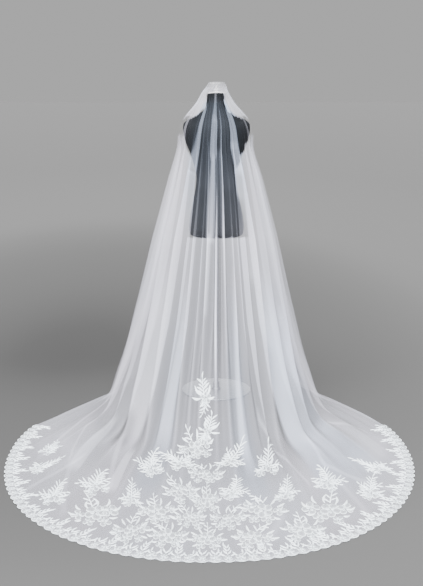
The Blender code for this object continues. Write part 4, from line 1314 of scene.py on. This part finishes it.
class VEIL_OT_stand(bpy.types.Operator):
    """Build the neck plate, post, pole, collar and base disc, and finish the comb"""
    bl_idname = "veil.stand"
    bl_label = "Build the stand"

    def execute(self, context):
        settings = context.scene.veil_stand
        steps = settings.round_steps
        slope = math.tan(PLATE_SLOPE)
        metal = settings.metal
        white = plain_finish("White plastic", settings.white, 0.35)
        steel = plain_finish("Polished pole", scaled(metal, 0.85), 0.12, Metallic=1.0)
        silver = plain_finish("Silver base", metal, 0.26, Metallic=1.0)
        dark = plain_finish("Dark collar", scaled(metal, 0.30), 0.40, Metallic=1.0)
        horn = plain_finish("Comb", scaled(settings.white, 0.18), 0.25)

        seat = TORSO[-1].z + SEAM_GAP / math.cos(PLATE_SLOPE)
        plate = turned(disc(PLATE_RADIUS, PLATE_THICK, PLATE_RIM), steps)
        shifted(plate, NECK_AXIS_Y, seat)
        for vertex in plate.verts:
            vertex.co.z -= slope * vertex.co.y
        add_piece("form_neck_plate", plate, white, "neck_plate")

        foot = seat + PLATE_THICK + SEAM_GAP
        post = shifted(turned(rounded(POST_OUTLINE), steps // 2), NECK_AXIS_Y, foot)
        for vertex in post.verts:
            if vertex.co.z < foot + SEAM_GAP:
                vertex.co.z -= slope * vertex.co.y
        add_piece("form_neck_post", post, white, "neck_post")

        collar_foot = BASE_THICK + SEAM_GAP
        pole_foot = collar_foot + COLLAR_HEIGHT + SEAM_GAP
        pole_outline = ((POLE_RADIUS, 0.0), (POLE_RADIUS, TORSO[0].z - pole_foot - SEAM_GAP))
        pole = shifted(turned(pole_outline, steps // 2), 0, pole_foot)
        add_piece("form_pole", pole, steel, "pole")
        collar = turned(rounded(COLLAR_OUTLINE, COLLAR_ROUND), steps // 2)
        add_piece("form_collar", shifted(collar, 0, collar_foot), dark, "pole_collar")
        base = turned(disc(BASE_RADIUS, BASE_THICK, BASE_RIM), steps)
        add_piece("form_base", base, silver, "base_disc")
        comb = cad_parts["comb"].data.materials
        comb.clear()
        comb.append(horn)
        return {"FINISHED"}


class VEIL_OT_stage(bpy.types.Operator):
    """Set the floor with its painted pool of shade, the soft studio light and the camera"""
    bl_idname = "veil.stage"
    bl_label = "Set the stage"

    def execute(self, context):
        settings = context.scene.veil_stage
        bm = bmesh.new()
        bmesh.ops.create_circle(bm, cap_ends=True, segments=96, radius=FLOOR_RADIUS)
        shifted(bm, 0, -FLOOR_DROP)
        mesh = bpy.data.meshes.new("floor")
        bm.to_mesh(mesh)
        bm.free()
        floor = bpy.data.objects.new("floor", mesh)
        context.scene.collection.objects.link(floor)
        made, tree, shader = new_material("Floor", 0.7, Specular_IOR_Level=0.2)
        # Painted pool of shade: the floor's tone is darkest at one place left of and behind the
        # form, and pales with the distance from there, more slowly behind it
        coords = tree.nodes.new("ShaderNodeTexCoord").outputs["Object"]
        split = tree.nodes.new("ShaderNodeSeparateXYZ")
        tree.links.new(coords, split.inputs[0])
        aside = math_node(tree, "SUBTRACT", split.outputs[0], FLOOR_SHADE_MIDDLE[0])
        ahead = math_node(tree, "SUBTRACT", split.outputs[1], FLOOR_SHADE_MIDDLE[1])
        behind = math_node(tree, "MULTIPLY", ahead, FLOOR_SHADE_BEHIND)
        along_y = math_node(tree, "MINIMUM", ahead, behind)
        square = math_node(tree, "MULTIPLY", along_y, along_y)
        away = math_node(tree, "SQRT", math_node(tree, "MULTIPLY_ADD", aside, aside, square))
        ramp = tree.nodes.new("ShaderNodeValToRGB")
        stops = ramp.color_ramp.elements
        while len(stops) < len(FLOOR_TONES_AND_SHADE):
            stops.new(0.5)
        for stop, (reach, tone) in zip(stops, FLOOR_TONES_AND_SHADE):
            stop.position = reach / FLOOR_TONES_AND_SHADE[-1][0]
            stop.color = (*(tone * part for part in settings.floor), 1.0)
        scaled = math_node(tree, "DIVIDE", away, FLOOR_TONES_AND_SHADE[-1][0])
        tree.links.new(scaled, ramp.inputs["Fac"])
        tree.links.new(ramp.outputs["Color"], shader.inputs["Base Color"])
        mesh.materials.append(made)

        world = bpy.data.worlds.new("Studio")
        world.use_nodes = True
        background = world.node_tree.nodes["Background"]
        background.inputs["Color"].default_value = (1.0, 1.0, 1.0, 1.0)
        background.inputs["Strength"].default_value = settings.sky
        context.scene.world = world
        for name, spread, tilt, turn in SUNS:
            lamp = bpy.data.lights.new(name, "SUN")
            lamp.energy = getattr(settings, name)
            lamp.angle = math.radians(spread)
            light = bpy.data.objects.new(name, lamp)
            light.rotation_euler = (math.radians(tilt), 0, math.radians(turn))
            context.scene.collection.objects.link(light)

        lens = bpy.data.cameras.new("camera")
        lens.lens = CAMERA_LENS
        lens.sensor_width = CAMERA_SENSOR
        camera = bpy.data.objects.new("camera", lens)
        camera.location = CAMERA_PLACE
        camera.rotation_euler = (math.radians(90 - CAMERA_DOWN), 0, 0)
        context.scene.collection.objects.link(camera)
        context.scene.camera = camera
        return {"FINISHED"}


class VEIL_PT_sidebar(bpy.types.Panel):
    """Lists the steps that make the veil"""
    bl_idname = "VEIL_PT_sidebar"
    bl_label = "Bridal veil"
    bl_space_type = "VIEW_3D"
    bl_region_type = "UI"
    bl_category = "Veil"

    def draw(self, context):
        for operator in OPERATORS:
            self.layout.operator(operator.bl_idname)
        for group in SETTINGS:
            box = self.layout.box()
            settings = getattr(context.scene, group)
            for name in settings.__annotations__:
                box.prop(settings, name)


OPERATORS = (VEIL_OT_net, VEIL_OT_sprays, VEIL_OT_border, VEIL_OT_torso, VEIL_OT_stand,
             VEIL_OT_stage)
SETTINGS = {"veil_net": NetSettings, "veil_lace": LaceSettings, "veil_stand": StandSettings,
            "veil_stage": StageSettings}
CLASSES = (*SETTINGS.values(), *OPERATORS, VEIL_PT_sidebar)


def register():
    """Add the settings, the operators and the panel."""
    for kind in CLASSES:
        bpy.utils.register_class(kind)
    for name, kind in SETTINGS.items():
        setattr(bpy.types.Scene, name, PointerProperty(type=kind))


def unregister():
    """Remove them again."""
    for name in SETTINGS:
        delattr(bpy.types.Scene, name)
    for kind in reversed(CLASSES):
        bpy.utils.unregister_class(kind)


def main():
    """Make every piece and the stage."""
    register()
    bpy.ops.veil.net()
    bpy.ops.veil.sprays()
    bpy.ops.veil.border()
    bpy.ops.veil.torso()
    bpy.ops.veil.stand()
    bpy.ops.veil.stage()


if __name__ == "__main__":
    main()
